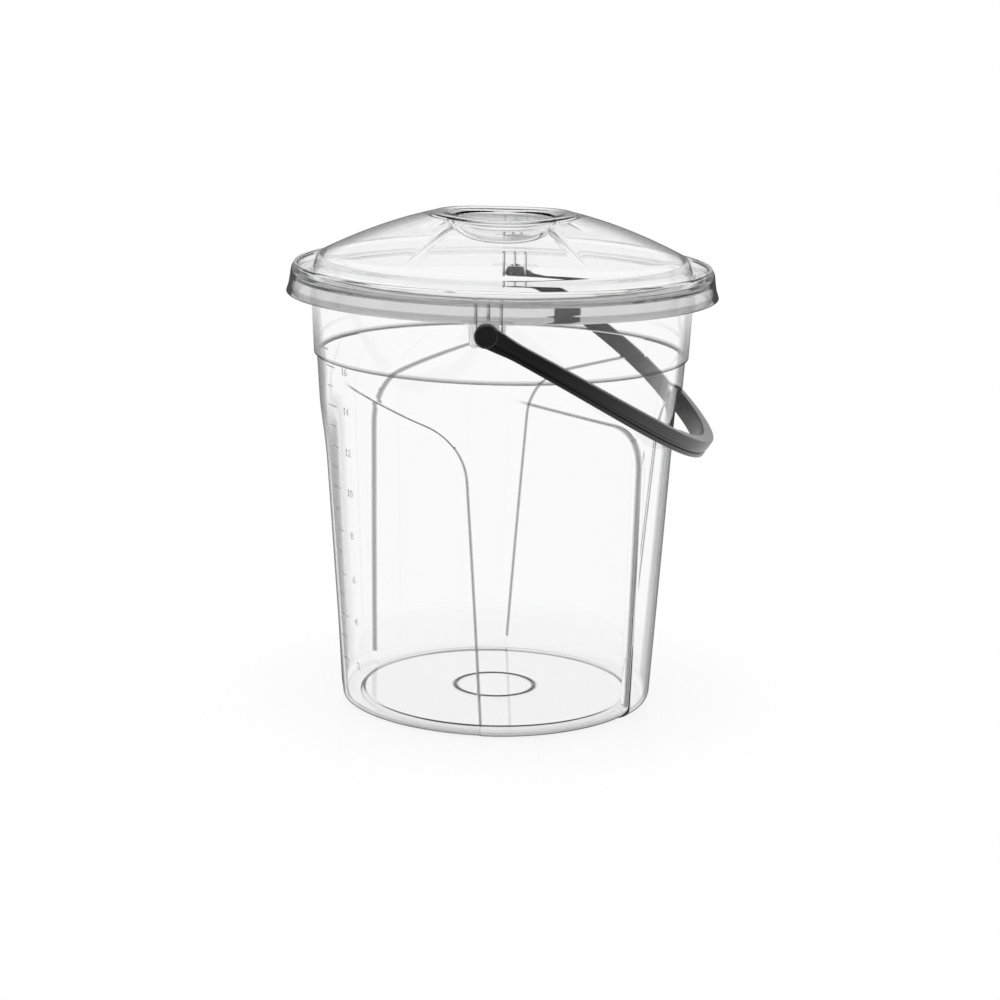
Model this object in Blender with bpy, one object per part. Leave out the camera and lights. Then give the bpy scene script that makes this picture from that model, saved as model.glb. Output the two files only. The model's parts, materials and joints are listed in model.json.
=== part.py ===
"""A clear plastic storage bucket with a domed lid and a black bail handle.

Metres, +Z up. The origin is the centre of the base, on the surface that the bucket stands on.
The handle's pivot axis runs along Y, and the handle hangs down towards +X.
Directions round the bucket are angles from -Y towards +X.
"""

import math

import bmesh
import bpy
from mathutils import Matrix, Vector

# Bucket wall: a draughted cone, a sloped step up to a collar, and a wider neck
WALL = 0.0022
BASE_CONE_RADIUS = 0.1317
CONE_SPREAD = 0.0179
COLLAR_SPREAD = 0.0028
NECK_SPREAD = 0.0030
RIM_HEIGHT = 0.3477
COLLAR_DROP = 0.0592
COLLAR_SLOPE_HEIGHT = 0.0075

# Bucket base: a raised floor inside a ring foot
FOOT_INSET = 0.0110
FOOT_CONTACT_WIDTH = 0.0101
FLOOR_EDGE_RUN = 0.0022
FOOT_CORNER_HEIGHT = 0.0115
FLOOR_RAISE = 0.0030
FLOOR_THICKNESS = 0.0025
GATE_RING_RADIUS = 0.0330
GATE_RING_WIDTH = 0.0030
GATE_RING_HEIGHT = 0.0008

# Bucket rim: a flange with a lip turned down over its edge
RIM_THICKNESS = 0.0022
LIP_REACH = 0.0139
LIP_FLARE = 0.0010
LIP_DROP = 0.0132
LIP_THICKNESS = 0.0020
LIP_EDGE = 0.0010

# Swooshes: pressed panels whose edge sweeps down along the wall and turns into an upright line
SWOOSH_COUNT = 6
SWOOSH_CORNER_ANGLE = math.radians(-7.8)
SWOOSH_REACH = math.radians(46.3)
SWOOSH_LEAN = math.radians(6.0)
SWOOSH_TOP_MARGIN = 0.0050
SWOOSH_FALL = 0.0345
SWOOSH_CORNER_ROUND = 0.0450
SWOOSH_DEPTH = 0.0042
SWOOSH_STEP_RUN = 0.0022
SWOOSH_FULL_AT_FOOT = math.radians(10.0)
SWOOSH_FULL_AT_TOP = math.radians(24.0)

# The panel beside the litre scale fades out softly in place of a crisp edge
SOFT_SWOOSH = 5
SOFT_SIDE_FADE = math.radians(16.0)
SOFT_TOP_FADE = 0.0460

# Ears: the lip dips down at each end of the pivot axis, with ribs behind it
PIVOT_DROP = 0.0179
EAR_STAND_OUT = 0.0012
EAR_THICKNESS = 0.0026
EAR_TOP_DROP = 0.0087
EAR_BOTTOM_DROP = 0.0287
EAR_HALF_WIDTH = 0.0135
EAR_CORNER_ROUND = 0.0045
EAR_ROOT_ROUND = 0.0055
EAR_SIDE_DRAFT = 0.0004
EAR_RIB_PITCH = 0.0095
EAR_RIB_THICKNESS = 0.0016
EAR_RIB_DROP = 0.0262
EAR_MIDDLE_RIB_DROP = 0.0087
EAR_BOSS_RADIUS = 0.0056
EAR_BOSS_STAND_OUT = 0.0045
PIVOT_HOLE_RADIUS = 0.0038

# Lid: a skirt with a bead, a channel, and a dome with two lobes round a ringed finger bowl
LID_GAP = 0.0003
LID_WALL = 0.0020
SKIRT_DROP = 0.0101
SKIRT_FLARE_DROP = 0.0042
SKIRT_MIDDLE_RISE = 0.0023
SKIRT_STAND_OUT = 0.0047
SKIRT_FLARE_STAND_OUT = 0.0027
SKIRT_MIDDLE_STAND_OUT = 0.0016
BEAD_STAND_OUT = 0.0008
BEAD_WIDTH = 0.0050
BEAD_RISE = 0.0138
BEAD_ROUND = 0.0016
CHANNEL_INSET = 0.0016
DOME_FOOT_INSET = 0.0028
DOME_EDGE_INSET = 0.0022
DOME_EDGE_RISE = 0.0199
DOME_SHOULDER = 0.0030
DOME_RISE = 0.0418
DOME_FULLNESS = 1.80
BOWL_RADIUS = 0.0405
BOWL_RIM_RISE = 0.0523
BOWL_DEPTH = 0.0205
BOWL_FULLNESS = 2.5
RING_TOP_RUN = 0.0105
RING_RUN = 0.0175
RING_RISE = 0.0026
RING_ROUND = 0.0006
RING_GROOVE_RUN = 0.0022
RING_GROOVE_DEPTH = 0.0012
RING_DIP = 0.0012
RING_DIP_SPREAD = math.radians(62.0)
WEDGE_HALF_ANGLE = math.radians(30.5)
WEDGE_TURN = math.radians(1.2)
WEDGE_STEP_RUN = 0.0032
WEDGE_DROP = 0.0034
WEDGE_MARGIN = 0.0050
LOBE_CORNER_RUN = 0.0130
LOBE_CORNER_ANGLE = math.radians(15.0)

# Handle: a bowed strap with a grip, and a snap peg at each end
HANDLE_REST_ANGLE = math.radians(33.3)
STRAP_THICKNESS = 0.0076
STRAP_REACH_PAST_EARS = 0.0290
STRAP_END_WIDTH = 0.0128
STRAP_GRIP_WIDTH = 0.0156
STRAP_NECK_WIDTH = 0.0168
STRAP_NECK_LENGTH = 0.0300
STRAP_CAMBER = 0.0060
STRAP_EDGE = 0.0014
GROOVE_WIDTH = 0.0032
GROOVE_DEPTH = 0.0020
GROOVE_OFFSET_SHARE = 0.17
GRIP_HALF_LENGTH = 0.0900
GRIP_EXTRA_THICKNESS = 0.0026
END_RADIUS = 0.0092
END_THICKNESS = 0.0080
END_ROUND = 0.0025
PEG_SLACK = 0.0004
PEG_HEAD_OVERHANG = 0.0005
PEG_HEAD_LENGTH = 0.0036
PEG_TIP_TAPER = 0.0013

# Radii that follow from the wall, going outwards
COLLAR_FOOT_RADIUS = BASE_CONE_RADIUS + CONE_SPREAD
COLLAR_RADIUS = COLLAR_FOOT_RADIUS + COLLAR_SPREAD
NECK_RADIUS = COLLAR_RADIUS + NECK_SPREAD
FOOT_OUTER_RADIUS = BASE_CONE_RADIUS - FOOT_INSET
FLOOR_EDGE_RADIUS = FOOT_OUTER_RADIUS - FOOT_CONTACT_WIDTH
LIP_TOP_RADIUS = NECK_RADIUS + LIP_REACH
LIP_BOTTOM_RADIUS = LIP_TOP_RADIUS + LIP_FLARE
EAR_OUTER_RADIUS = LIP_BOTTOM_RADIUS + EAR_STAND_OUT
EAR_BOSS_FACE = EAR_OUTER_RADIUS + EAR_BOSS_STAND_OUT
SKIRT_BOTTOM_RADIUS = LIP_BOTTOM_RADIUS + SKIRT_STAND_OUT
SKIRT_FLARE_RADIUS = LIP_BOTTOM_RADIUS + SKIRT_FLARE_STAND_OUT
SKIRT_MIDDLE_RADIUS = LIP_BOTTOM_RADIUS + SKIRT_MIDDLE_STAND_OUT
BEAD_OUTER_RADIUS = LIP_BOTTOM_RADIUS + BEAD_STAND_OUT
CHANNEL_INNER_RADIUS = NECK_RADIUS - CHANNEL_INSET
DOME_FOOT_RADIUS = CHANNEL_INNER_RADIUS - DOME_FOOT_INSET
DOME_EDGE_RADIUS = DOME_FOOT_RADIUS - DOME_EDGE_INSET
RING_TOP_RADIUS = BOWL_RADIUS + RING_TOP_RUN
RING_EDGE_RADIUS = BOWL_RADIUS + RING_RUN
RING_GROOVE_RADIUS = RING_EDGE_RADIUS + RING_GROOVE_RUN
LOBE_RADIUS = RING_GROOVE_RADIUS + RING_GROOVE_RUN
WEDGE_END_RADIUS = DOME_FOOT_RADIUS - WEDGE_MARGIN
PEG_RADIUS = PIVOT_HOLE_RADIUS - PEG_SLACK
PEG_HEAD_RADIUS = PIVOT_HOLE_RADIUS + PEG_HEAD_OVERHANG
PEG_TIP_RADIUS = PEG_HEAD_RADIUS - PEG_TIP_TAPER
STRAP_REACH = EAR_BOSS_FACE + STRAP_REACH_PAST_EARS

# Heights that follow from the rim
COLLAR_HEIGHT = RIM_HEIGHT - COLLAR_DROP
COLLAR_FOOT_HEIGHT = COLLAR_HEIGHT - COLLAR_SLOPE_HEIGHT
SWOOSH_START_HEIGHT = COLLAR_FOOT_HEIGHT - SWOOSH_TOP_MARGIN
SWOOSH_CORNER_HEIGHT = SWOOSH_START_HEIGHT - SWOOSH_FALL
LIP_BOTTOM_HEIGHT = RIM_HEIGHT - LIP_DROP
PIVOT_HEIGHT = RIM_HEIGHT - PIVOT_DROP
EAR_TOP_HEIGHT = RIM_HEIGHT - EAR_TOP_DROP
EAR_BOTTOM_HEIGHT = RIM_HEIGHT - EAR_BOTTOM_DROP
EAR_RIB_BOTTOM_HEIGHT = RIM_HEIGHT - EAR_RIB_DROP
EAR_MIDDLE_RIB_BOTTOM_HEIGHT = RIM_HEIGHT - EAR_MIDDLE_RIB_DROP
CHANNEL_FLOOR_HEIGHT = RIM_HEIGHT + LID_GAP + LID_WALL
SKIRT_BOTTOM_HEIGHT = RIM_HEIGHT - SKIRT_DROP
SKIRT_FLARE_HEIGHT = RIM_HEIGHT - SKIRT_FLARE_DROP
SKIRT_MIDDLE_HEIGHT = RIM_HEIGHT + SKIRT_MIDDLE_RISE
BEAD_TOP_HEIGHT = RIM_HEIGHT + BEAD_RISE
DOME_EDGE_HEIGHT = RIM_HEIGHT + DOME_EDGE_RISE
BOWL_RIM_HEIGHT = RIM_HEIGHT + BOWL_RIM_RISE
RING_TOP_HEIGHT = BOWL_RIM_HEIGHT + RING_RISE

# One overrun serves all cuts and all overlaps between shapes that are joined
OVERRUN = 0.0010

# How finely the round shapes are divided
CORNER_STEPS = 3
SWOOSH_LINE_STEPS = 6
SWOOSH_SIDE_STEPS = 4
PLAIN_STEPS = 2
LID_SECTOR_STEPS = 10
LID_LOBE_STEPS = 15
STRAP_STEPS = 36
ROUND_SEGMENTS = 24


def lerp(a, b, t):
    return a + (b - a) * t


def smooth(t):
    """0 at 0 and below, 1 at 1 and above, with no kink at either end."""
    t = min(max(t, 0.0), 1.0)
    return t * t * (3 - 2 * t)


def polar(radius, angle, height):
    """A point at an angle measured from -Y towards +X."""
    return Vector((radius * math.sin(angle), -radius * math.cos(angle), height))


def clear_scene():
    for obj in list(bpy.data.objects):
        bpy.data.objects.remove(obj)


def material(name, colour, roughness, transmission):
    made = bpy.data.materials.new(name)
    made.use_nodes = True
    shader = made.node_tree.nodes["Principled BSDF"]
    shader.inputs["Base Color"].default_value = (*colour, 1)
    shader.inputs["Roughness"].default_value = roughness
    shader.inputs["Metallic"].default_value = 0
    shader.inputs["Transmission Weight"].default_value = transmission
    return made


def add_object(name, shape, finish=None):
    """Turn a bmesh into an object, with its faces turned outwards and smooth shading."""
    bmesh.ops.recalc_face_normals(shape, faces=shape.faces)
    mesh = bpy.data.meshes.new(name)
    shape.to_mesh(mesh)
    shape.free()
    mesh.shade_smooth()
    mesh.set_sharp_from_angle(angle=math.radians(30))
    obj = bpy.data.objects.new(name, mesh)
    bpy.context.scene.collection.objects.link(obj)
    if finish:
        mesh.materials.append(finish)
    return obj


def combine(target, helper, operation):
    """Join a helper to the target, or cut it out, with an exact Boolean."""
    helper.hide_render = True
    helper.display_type = "WIRE"
    modifier = target.modifiers.new(f"{operation} {helper.name}", "BOOLEAN")
    modifier.operation = operation
    modifier.solver = "EXACT"
    modifier.object = helper


def add_ring(shape, points):
    return [shape.verts.new(point) for point in points]


def bridge(shape, first, second):
    """Faces between two closed rings of as many vertices."""
    for i in range(len(first)):
        j = (i + 1) % len(first)
        shape.faces.new((first[i], first[j], second[j], second[i]))


def fan(shape, ring, centre):
    tip = shape.verts.new(centre)
    for i in range(len(ring)):
        shape.faces.new((ring[i], ring[(i + 1) % len(ring)], tip))


def shell_from_rings(rings, first_centre, last_centre):
    """A closed body from rings in order, its two ends fanned shut on the axis."""
    shape = bmesh.new()
    made = [add_ring(shape, ring) for ring in rings]
    for first, second in zip(made, made[1:]):
        bridge(shape, first, second)
    fan(shape, made[0], first_centre)
    fan(shape, made[-1], last_centre)
    return shape


def turned(profile, segments):
    """A closed body turned about Z from (radius, height) points that start and end on the axis."""
    step = math.tau / segments
    rings = [[polar(r, step * i, z) for i in range(segments)] for r, z in profile[1:-1]]
    return shell_from_rings(rings, (0, 0, profile[0][1]), (0, 0, profile[-1][1]))


def rounded_corner(start, corner, end, radius, steps):
    """Points on the arc that rounds the corner between two straight lines, from line to line."""
    back = (start - corner).normalized()
    ahead = (end - corner).normalized()
    half_angle = back.angle(ahead) / 2
    middle = corner + (back + ahead).normalized() * (radius / math.sin(half_angle))
    reach = radius / math.tan(half_angle)
    first = corner + back * reach - middle
    last = corner + ahead * reach - middle
    sweep = first.angle_signed(last)
    turns = [Matrix.Rotation(-sweep * i / steps, 2) for i in range(steps + 1)]
    return [middle + turn @ first for turn in turns]


def cone_radius(z):
    """Outer radius of the wall between the swooshes."""
    return lerp(BASE_CONE_RADIUS, COLLAR_FOOT_RADIUS, z / COLLAR_FOOT_HEIGHT)


# The swooshes are laid out on the wall unrolled at this radius: x along the wall, y up it
UNROLL_RADIUS = cone_radius(SWOOSH_CORNER_HEIGHT)
PANEL_PITCH = UNROLL_RADIUS * math.tau / SWOOSH_COUNT
SWOOSH_START = Vector((-UNROLL_RADIUS * SWOOSH_REACH, SWOOSH_START_HEIGHT))
SWOOSH_CORNER = Vector((0, SWOOSH_CORNER_HEIGHT))
SWOOSH_FOOT = Vector((UNROLL_RADIUS * SWOOSH_LEAN, FOOT_CORNER_HEIGHT))


def swoosh_edges():
    """The edge's upper stretch, start to mid-corner, and its side stretch, foot to mid-corner."""
    arc = rounded_corner(
        SWOOSH_START, SWOOSH_CORNER, SWOOSH_FOOT, SWOOSH_CORNER_ROUND, 2 * CORNER_STEPS
    )
    upper_line = [
        SWOOSH_START.lerp(arc[0], i / SWOOSH_LINE_STEPS) for i in range(SWOOSH_LINE_STEPS)
    ]
    side_line = [
        SWOOSH_FOOT.lerp(arc[-1], i / SWOOSH_SIDE_STEPS) for i in range(SWOOSH_SIDE_STEPS)
    ]
    return upper_line + arc[: CORNER_STEPS + 1], side_line + arc[CORNER_STEPS:][::-1]


def offset_edge(points, side):
    """The edge moved out by the step's run, on the given side of its direction."""
    moved = []
    for i, point in enumerate(points):
        along = points[min(i + 1, len(points) - 1)] - points[max(i - 1, 0)]
        normal = Vector((-along.y, along.x)).normalized() * side
        moved.append(point + normal * SWOOSH_STEP_RUN)
    return moved


def coons(bottom, top, left, right, across, up):
    """Where shares across and up fall in a patch with four given edge points and its corners."""
    ruled = lerp(bottom[across[0]], top[across[0]], up[1]) + lerp(left[up[0]], right[up[0]], across[1])
    corners = lerp(lerp(bottom[0], bottom[-1], across[1]), lerp(top[0], top[-1], across[1]), up[1])
    return ruled - corners


def panel_rows():
    """One panel of the wall as rows from foot to collar of (point, whether it is pressed in).

    The rows and columns follow the swoosh's edge, so that its step is crisp. The last column is
    left out, because it is the next panel's first.
    """
    upper, side = swoosh_edges()
    outer_upper = offset_edge(upper, 1)
    outer_side = offset_edge(side, -1)
    outer_corner = (outer_upper[-1] + outer_side[-1]) / 2
    outer_upper[-1] = outer_corner.lerp(outer_upper[-2], 1 / 4)
    outer_side[-1] = outer_corner.lerp(outer_side[-2], 1 / 4)

    across = [(p.x - upper[0].x) / (upper[-1].x - upper[0].x) for p in upper]
    up = [(p.y - side[0].y) / (side[-1].y - side[0].y) for p in side]
    left = [Vector((SWOOSH_START.x, lerp(SWOOSH_FOOT.y, SWOOSH_START.y, t))) for t in up]
    bottom = [left[0].lerp(side[0], t) for t in across]
    next_start = SWOOSH_START + Vector((PANEL_PITCH, SWOOSH_STEP_RUN))

    rows = []
    for j, rise in enumerate(up):
        row = [(coons(bottom, upper, left, side, (i, t), (j, rise)), True) for i, t in enumerate(across)]
        far = left[j] + Vector((PANEL_PITCH, 0))
        plain = [(outer_side[j].lerp(far, i / PLAIN_STEPS), False) for i in range(PLAIN_STEPS)]
        rows.append(row + plain)
    above = outer_upper + [outer_corner.lerp(next_start, i / PLAIN_STEPS) for i in range(PLAIN_STEPS)]
    for i in range(PLAIN_STEPS + 1):
        share = i / PLAIN_STEPS
        rows.append([(Vector((p.x, lerp(p.y, COLLAR_FOOT_HEIGHT, share))), False) for p in above])
    return rows


def press_depth(point, soft):
    """How far a pressed panel is set in at an unrolled point."""
    x, z = point
    full = UNROLL_RADIUS * lerp(SWOOSH_FULL_AT_FOOT, SWOOSH_FULL_AT_TOP, z / SWOOSH_START_HEIGHT)
    depth = SWOOSH_DEPTH * smooth((x - SWOOSH_START.x) / (-full - SWOOSH_START.x))
    if soft:
        side_x = lerp(SWOOSH_FOOT.x, 0, (z - SWOOSH_FOOT.y) / (SWOOSH_CORNER_HEIGHT - SWOOSH_FOOT.y))
        top_z = lerp(SWOOSH_CORNER_HEIGHT, SWOOSH_START_HEIGHT, x / SWOOSH_START.x)
        depth *= smooth((side_x - x) / (UNROLL_RADIUS * SOFT_SIDE_FADE))
        depth *= smooth((top_z - z) / SOFT_TOP_FADE)
    return depth


def wall_rings():
    """Rings of (outer radius, angle, height) up the wall, from the foot corner to the collar."""
    rows = panel_rows()
    rings = [[] for _ in rows]
    for panel in range(SWOOSH_COUNT):
        corner_angle = SWOOSH_CORNER_ANGLE + math.tau * panel / SWOOSH_COUNT
        for ring, row in zip(rings, rows):
            for point, pressed in row:
                radius = cone_radius(point.y)
                if pressed:
                    radius -= press_depth(point, panel == SOFT_SWOOSH)
                ring.append((radius, corner_angle + point.x / UNROLL_RADIUS, point.y))
    return rings


def foot_corner_rings(wall_foot, inset, bottom_z):
    """Rings round the foot's corner, a quarter ellipse from the contact ring up to the wall."""
    rings = []
    for i in range(CORNER_STEPS):
        turn = math.pi / 2 * i / CORNER_STEPS
        z = lerp(FOOT_CORNER_HEIGHT, bottom_z, math.cos(turn))
        rings.append([
            polar(lerp(FOOT_OUTER_RADIUS, radius - inset, math.sin(turn)), angle, z)
            for radius, angle, _ in wall_foot
        ])
    return rings


def bucket_rings():
    """Rings over the whole bucket: under the base, up the outside, over the rim, down the inside."""
    wall = wall_rings()
    angles = [angle for _, angle, _ in wall[0]]
    top_angles = [angle for _, angle, _ in wall[-1]]

    def round_ring(radius, z, at=top_angles):
        return [polar(radius, angle, z) for angle in at]

    rim_underside = RIM_HEIGHT - RIM_THICKNESS
    floor_top = FLOOR_RAISE + FLOOR_THICKNESS
    lip_inner_bottom = LIP_BOTTOM_RADIUS - LIP_THICKNESS
    lip_inner_top = LIP_TOP_RADIUS - LIP_THICKNESS
    gate_inner = GATE_RING_RADIUS - GATE_RING_WIDTH / 2
    gate_outer = GATE_RING_RADIUS + GATE_RING_WIDTH / 2
    return [
        round_ring(gate_inner, FLOOR_RAISE, angles),
        round_ring(FLOOR_EDGE_RADIUS - FLOOR_EDGE_RUN, FLOOR_RAISE, angles),
        round_ring(FLOOR_EDGE_RADIUS, 0, angles),
        *foot_corner_rings(wall[0], 0, 0),
        *[[polar(*spot) for spot in ring] for ring in wall],
        round_ring(COLLAR_RADIUS, COLLAR_HEIGHT),
        round_ring(NECK_RADIUS, rim_underside),
        round_ring(lip_inner_top, rim_underside),
        round_ring(lip_inner_bottom, LIP_BOTTOM_HEIGHT),
        round_ring(LIP_BOTTOM_RADIUS, LIP_BOTTOM_HEIGHT),
        round_ring(LIP_TOP_RADIUS, RIM_HEIGHT - LIP_EDGE),
        round_ring(LIP_TOP_RADIUS - LIP_EDGE, RIM_HEIGHT),
        round_ring(NECK_RADIUS - WALL + LIP_EDGE, RIM_HEIGHT),
        round_ring(NECK_RADIUS - WALL, RIM_HEIGHT - LIP_EDGE),
        round_ring(COLLAR_RADIUS - WALL, COLLAR_HEIGHT),
        *[[polar(r - WALL, angle, z) for r, angle, z in ring] for ring in wall[::-1]],
        *foot_corner_rings(wall[0], WALL, WALL)[::-1],
        round_ring(FLOOR_EDGE_RADIUS + FLOOR_EDGE_RUN, WALL, angles),
        round_ring(FLOOR_EDGE_RADIUS, floor_top, angles),
        round_ring(gate_outer, floor_top, angles),
        round_ring(GATE_RING_RADIUS, floor_top + GATE_RING_HEIGHT, angles),
        round_ring(gate_inner, floor_top, angles),
    ]


def ear_lower_edge():
    """Half of the ear's outline as (distance along the rim, height), from the middle outwards."""
    corner = EAR_HALF_WIDTH - EAR_CORNER_ROUND
    points = [(0, EAR_BOTTOM_HEIGHT)]
    for i in range(CORNER_STEPS + 1):
        turn = math.pi / 2 * i / CORNER_STEPS
        rise = EAR_CORNER_ROUND * (1 - math.cos(turn))
        points.append((corner + EAR_CORNER_ROUND * math.sin(turn), EAR_BOTTOM_HEIGHT + rise))
    root = EAR_HALF_WIDTH + EAR_SIDE_DRAFT + EAR_ROOT_ROUND
    for i in range(CORNER_STEPS + 1):
        turn = math.pi / 2 * i / CORNER_STEPS
        drop = EAR_ROOT_ROUND * (1 - math.sin(turn))
        points.append((root - EAR_ROOT_ROUND * math.cos(turn), LIP_BOTTOM_HEIGHT - drop))
    points.append((root, EAR_TOP_HEIGHT))
    return points


def ear_plate(shape):
    """The dipped lip, bent to the rim's curve, centred on -Y."""
    half = ear_lower_edge()
    edge = [(-x, z) for x, z in half[:0:-1]] + half
    corners = []
    for x, z in edge:
        angle = x / EAR_OUTER_RADIUS
        corners.append([
            shape.verts.new(polar(radius, angle, height))
            for radius in (EAR_OUTER_RADIUS, EAR_OUTER_RADIUS - EAR_THICKNESS)
            for height in (z, EAR_TOP_HEIGHT)
        ])
    corners = corners[1:-1]
    for here, there in zip(corners, corners[1:]):
        low_out, high_out, low_in, high_in = here
        next_low_out, next_high_out, next_low_in, next_high_in = there
        shape.faces.new((low_out, next_low_out, next_high_out, high_out))
        shape.faces.new((low_in, high_in, next_high_in, next_low_in))
        shape.faces.new((low_out, low_in, next_low_in, next_low_out))
        shape.faces.new((high_out, next_high_out, next_high_in, high_in))
    for low_out, high_out, low_in, high_in in (corners[0], corners[-1]):
        shape.faces.new((low_out, high_out, high_in, low_in))
    bmesh.ops.delete(shape, geom=[v for v in shape.verts if not v.link_faces], context="VERTS")


def add_cylinder(name, radius, near, far):
    """A cylinder along -Y at the pivot's height, from one distance off the axis to another."""
    shape = bmesh.new()
    bmesh.ops.create_cone(
        shape, cap_ends=True, segments=ROUND_SEGMENTS, radius1=radius, radius2=radius, depth=far - near
    )
    turn = Matrix.Rotation(math.pi / 2, 4, "X")
    place = Matrix.Translation((0, -(near + far) / 2, PIVOT_HEIGHT))
    bmesh.ops.transform(shape, matrix=place @ turn, verts=shape.verts)
    return add_object(name, shape)


def add_rib(name, x, bottom):
    """A rib from inside the neck's wall to inside the ear, up into the flange."""
    near = NECK_RADIUS - WALL / 2
    far = EAR_OUTER_RADIUS - EAR_THICKNESS + OVERRUN
    top = RIM_HEIGHT - RIM_THICKNESS / 2
    size = Matrix.Diagonal((EAR_RIB_THICKNESS, far - near, top - bottom, 1))
    place = Matrix.Translation((x, -(near + far) / 2, (top + bottom) / 2))
    shape = bmesh.new()
    bmesh.ops.create_cube(shape, size=1, matrix=place @ size)
    return add_object(name, shape)


def add_ear(name, direction):
    """One ear with its boss, ribs and pivot hole, turned to its end of the pivot axis."""
    shape = bmesh.new()
    ear_plate(shape)
    ear = add_object(name, shape)
    inner_face = EAR_OUTER_RADIUS - EAR_THICKNESS
    parts = [
        add_cylinder(f"{name}_boss", EAR_BOSS_RADIUS, inner_face + EAR_THICKNESS / 2, EAR_BOSS_FACE),
        add_rib(f"{name}_rib_left", -EAR_RIB_PITCH, EAR_RIB_BOTTOM_HEIGHT),
        add_rib(f"{name}_rib_right", EAR_RIB_PITCH, EAR_RIB_BOTTOM_HEIGHT),
        add_rib(f"{name}_rib_middle", 0, EAR_MIDDLE_RIB_BOTTOM_HEIGHT),
    ]
    for part in parts:
        combine(ear, part, "UNION")
    hole = add_cylinder(
        f"{name}_hole", PIVOT_HOLE_RADIUS, inner_face - OVERRUN, EAR_BOSS_FACE + OVERRUN
    )
    combine(ear, hole, "DIFFERENCE")
    for part in [*parts, hole]:
        part.parent = ear
    ear.rotation_euler.z = direction
    return ear


def add_bucket(finish):
    rings = bucket_rings()
    shape = shell_from_rings(rings, (0, 0, FLOOR_RAISE), (0, 0, FLOOR_RAISE + FLOOR_THICKNESS))
    bucket = add_object("bucket", shape, finish)
    for name, direction in (("ear_front", 0), ("ear_back", math.pi)):
        combine(bucket, add_ear(name, direction), "UNION")
    return bucket


def dome_height(radius):
    """The dome's own curve, from its edge up to the axis."""
    return DOME_EDGE_HEIGHT + DOME_RISE * (1 - (radius / DOME_EDGE_RADIUS) ** DOME_FULLNESS)


def bowl_height(radius):
    """The finger bowl: flat-bottomed, and steep below its rim."""
    share = min(radius / BOWL_RADIUS, 1.0) ** BOWL_FULLNESS
    return BOWL_RIM_HEIGHT - BOWL_DEPTH * (1 - share) ** (1 / BOWL_FULLNESS)


def bowl_stations():
    radii = [BOWL_RADIUS * share for share in (0.35, 0.62, 0.82, 0.94, 0.99)]
    return [(radius, bowl_height(radius)) for radius in radii]


def crown_stations():
    """(radius, height) along a lobe, from the ring round the bowl to the dome's edge."""
    stations = [
        (BOWL_RADIUS + RING_ROUND, BOWL_RIM_HEIGHT + RING_ROUND),
        (lerp(BOWL_RADIUS, RING_TOP_RADIUS, 1 / 2), lerp(BOWL_RIM_HEIGHT, RING_TOP_HEIGHT, 3 / 4)),
        (RING_TOP_RADIUS, RING_TOP_HEIGHT),
        (RING_EDGE_RADIUS, RING_TOP_HEIGHT - RING_ROUND),
        (RING_GROOVE_RADIUS, dome_height(RING_GROOVE_RADIUS) - RING_GROOVE_DEPTH),
        (LOBE_RADIUS, dome_height(LOBE_RADIUS)),
    ]
    for share in (0.46, 0.54, 0.66, 0.78, 0.88, 0.955, 1):
        radius = DOME_EDGE_RADIUS * share
        stations.append((radius, dome_height(radius)))
    return stations


def wedge_drop(radius):
    """How far the front and back wedges lie below the dome: most by the ring, none at the rim."""
    fade = smooth((WEDGE_END_RADIUS - radius) / (WEDGE_END_RADIUS - RING_GROOVE_RADIUS))
    return WEDGE_DROP * fade * smooth((radius - RING_EDGE_RADIUS) / RING_GROOVE_RUN)


def ring_dip(radius, angle):
    """How far the ring dips over each wedge, at an angle round the lid."""
    away = abs((angle - WEDGE_TURN + math.pi / 2) % math.pi - math.pi / 2)
    over = 1 - smooth((radius - RING_EDGE_RADIUS) / (LOBE_RADIUS - RING_EDGE_RADIUS))
    return RING_DIP * over * smooth(1 - away / RING_DIP_SPREAD)


def lid_spokes(radius):
    """Angles round the lid at a radius, each with whether it lies in a wedge."""
    radius = min(max(radius, LOBE_RADIUS), DOME_EDGE_RADIUS)
    corner = max(1 - (radius - LOBE_RADIUS) / LOBE_CORNER_RUN, 0)
    edge = WEDGE_HALF_ANGLE + LOBE_CORNER_ANGLE * corner * corner
    half_step = WEDGE_STEP_RUN / radius / 2
    spokes = []
    for wedge_centre in (WEDGE_TURN, WEDGE_TURN + math.pi):
        inner, outer = edge - half_step, edge + half_step
        for i in range(LID_SECTOR_STEPS + 1):
            spokes.append((wedge_centre + lerp(-inner, inner, i / LID_SECTOR_STEPS), True))
        for i in range(LID_LOBE_STEPS + 1):
            spokes.append((wedge_centre + lerp(outer, math.pi - outer, i / LID_LOBE_STEPS), False))
    return spokes


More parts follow.
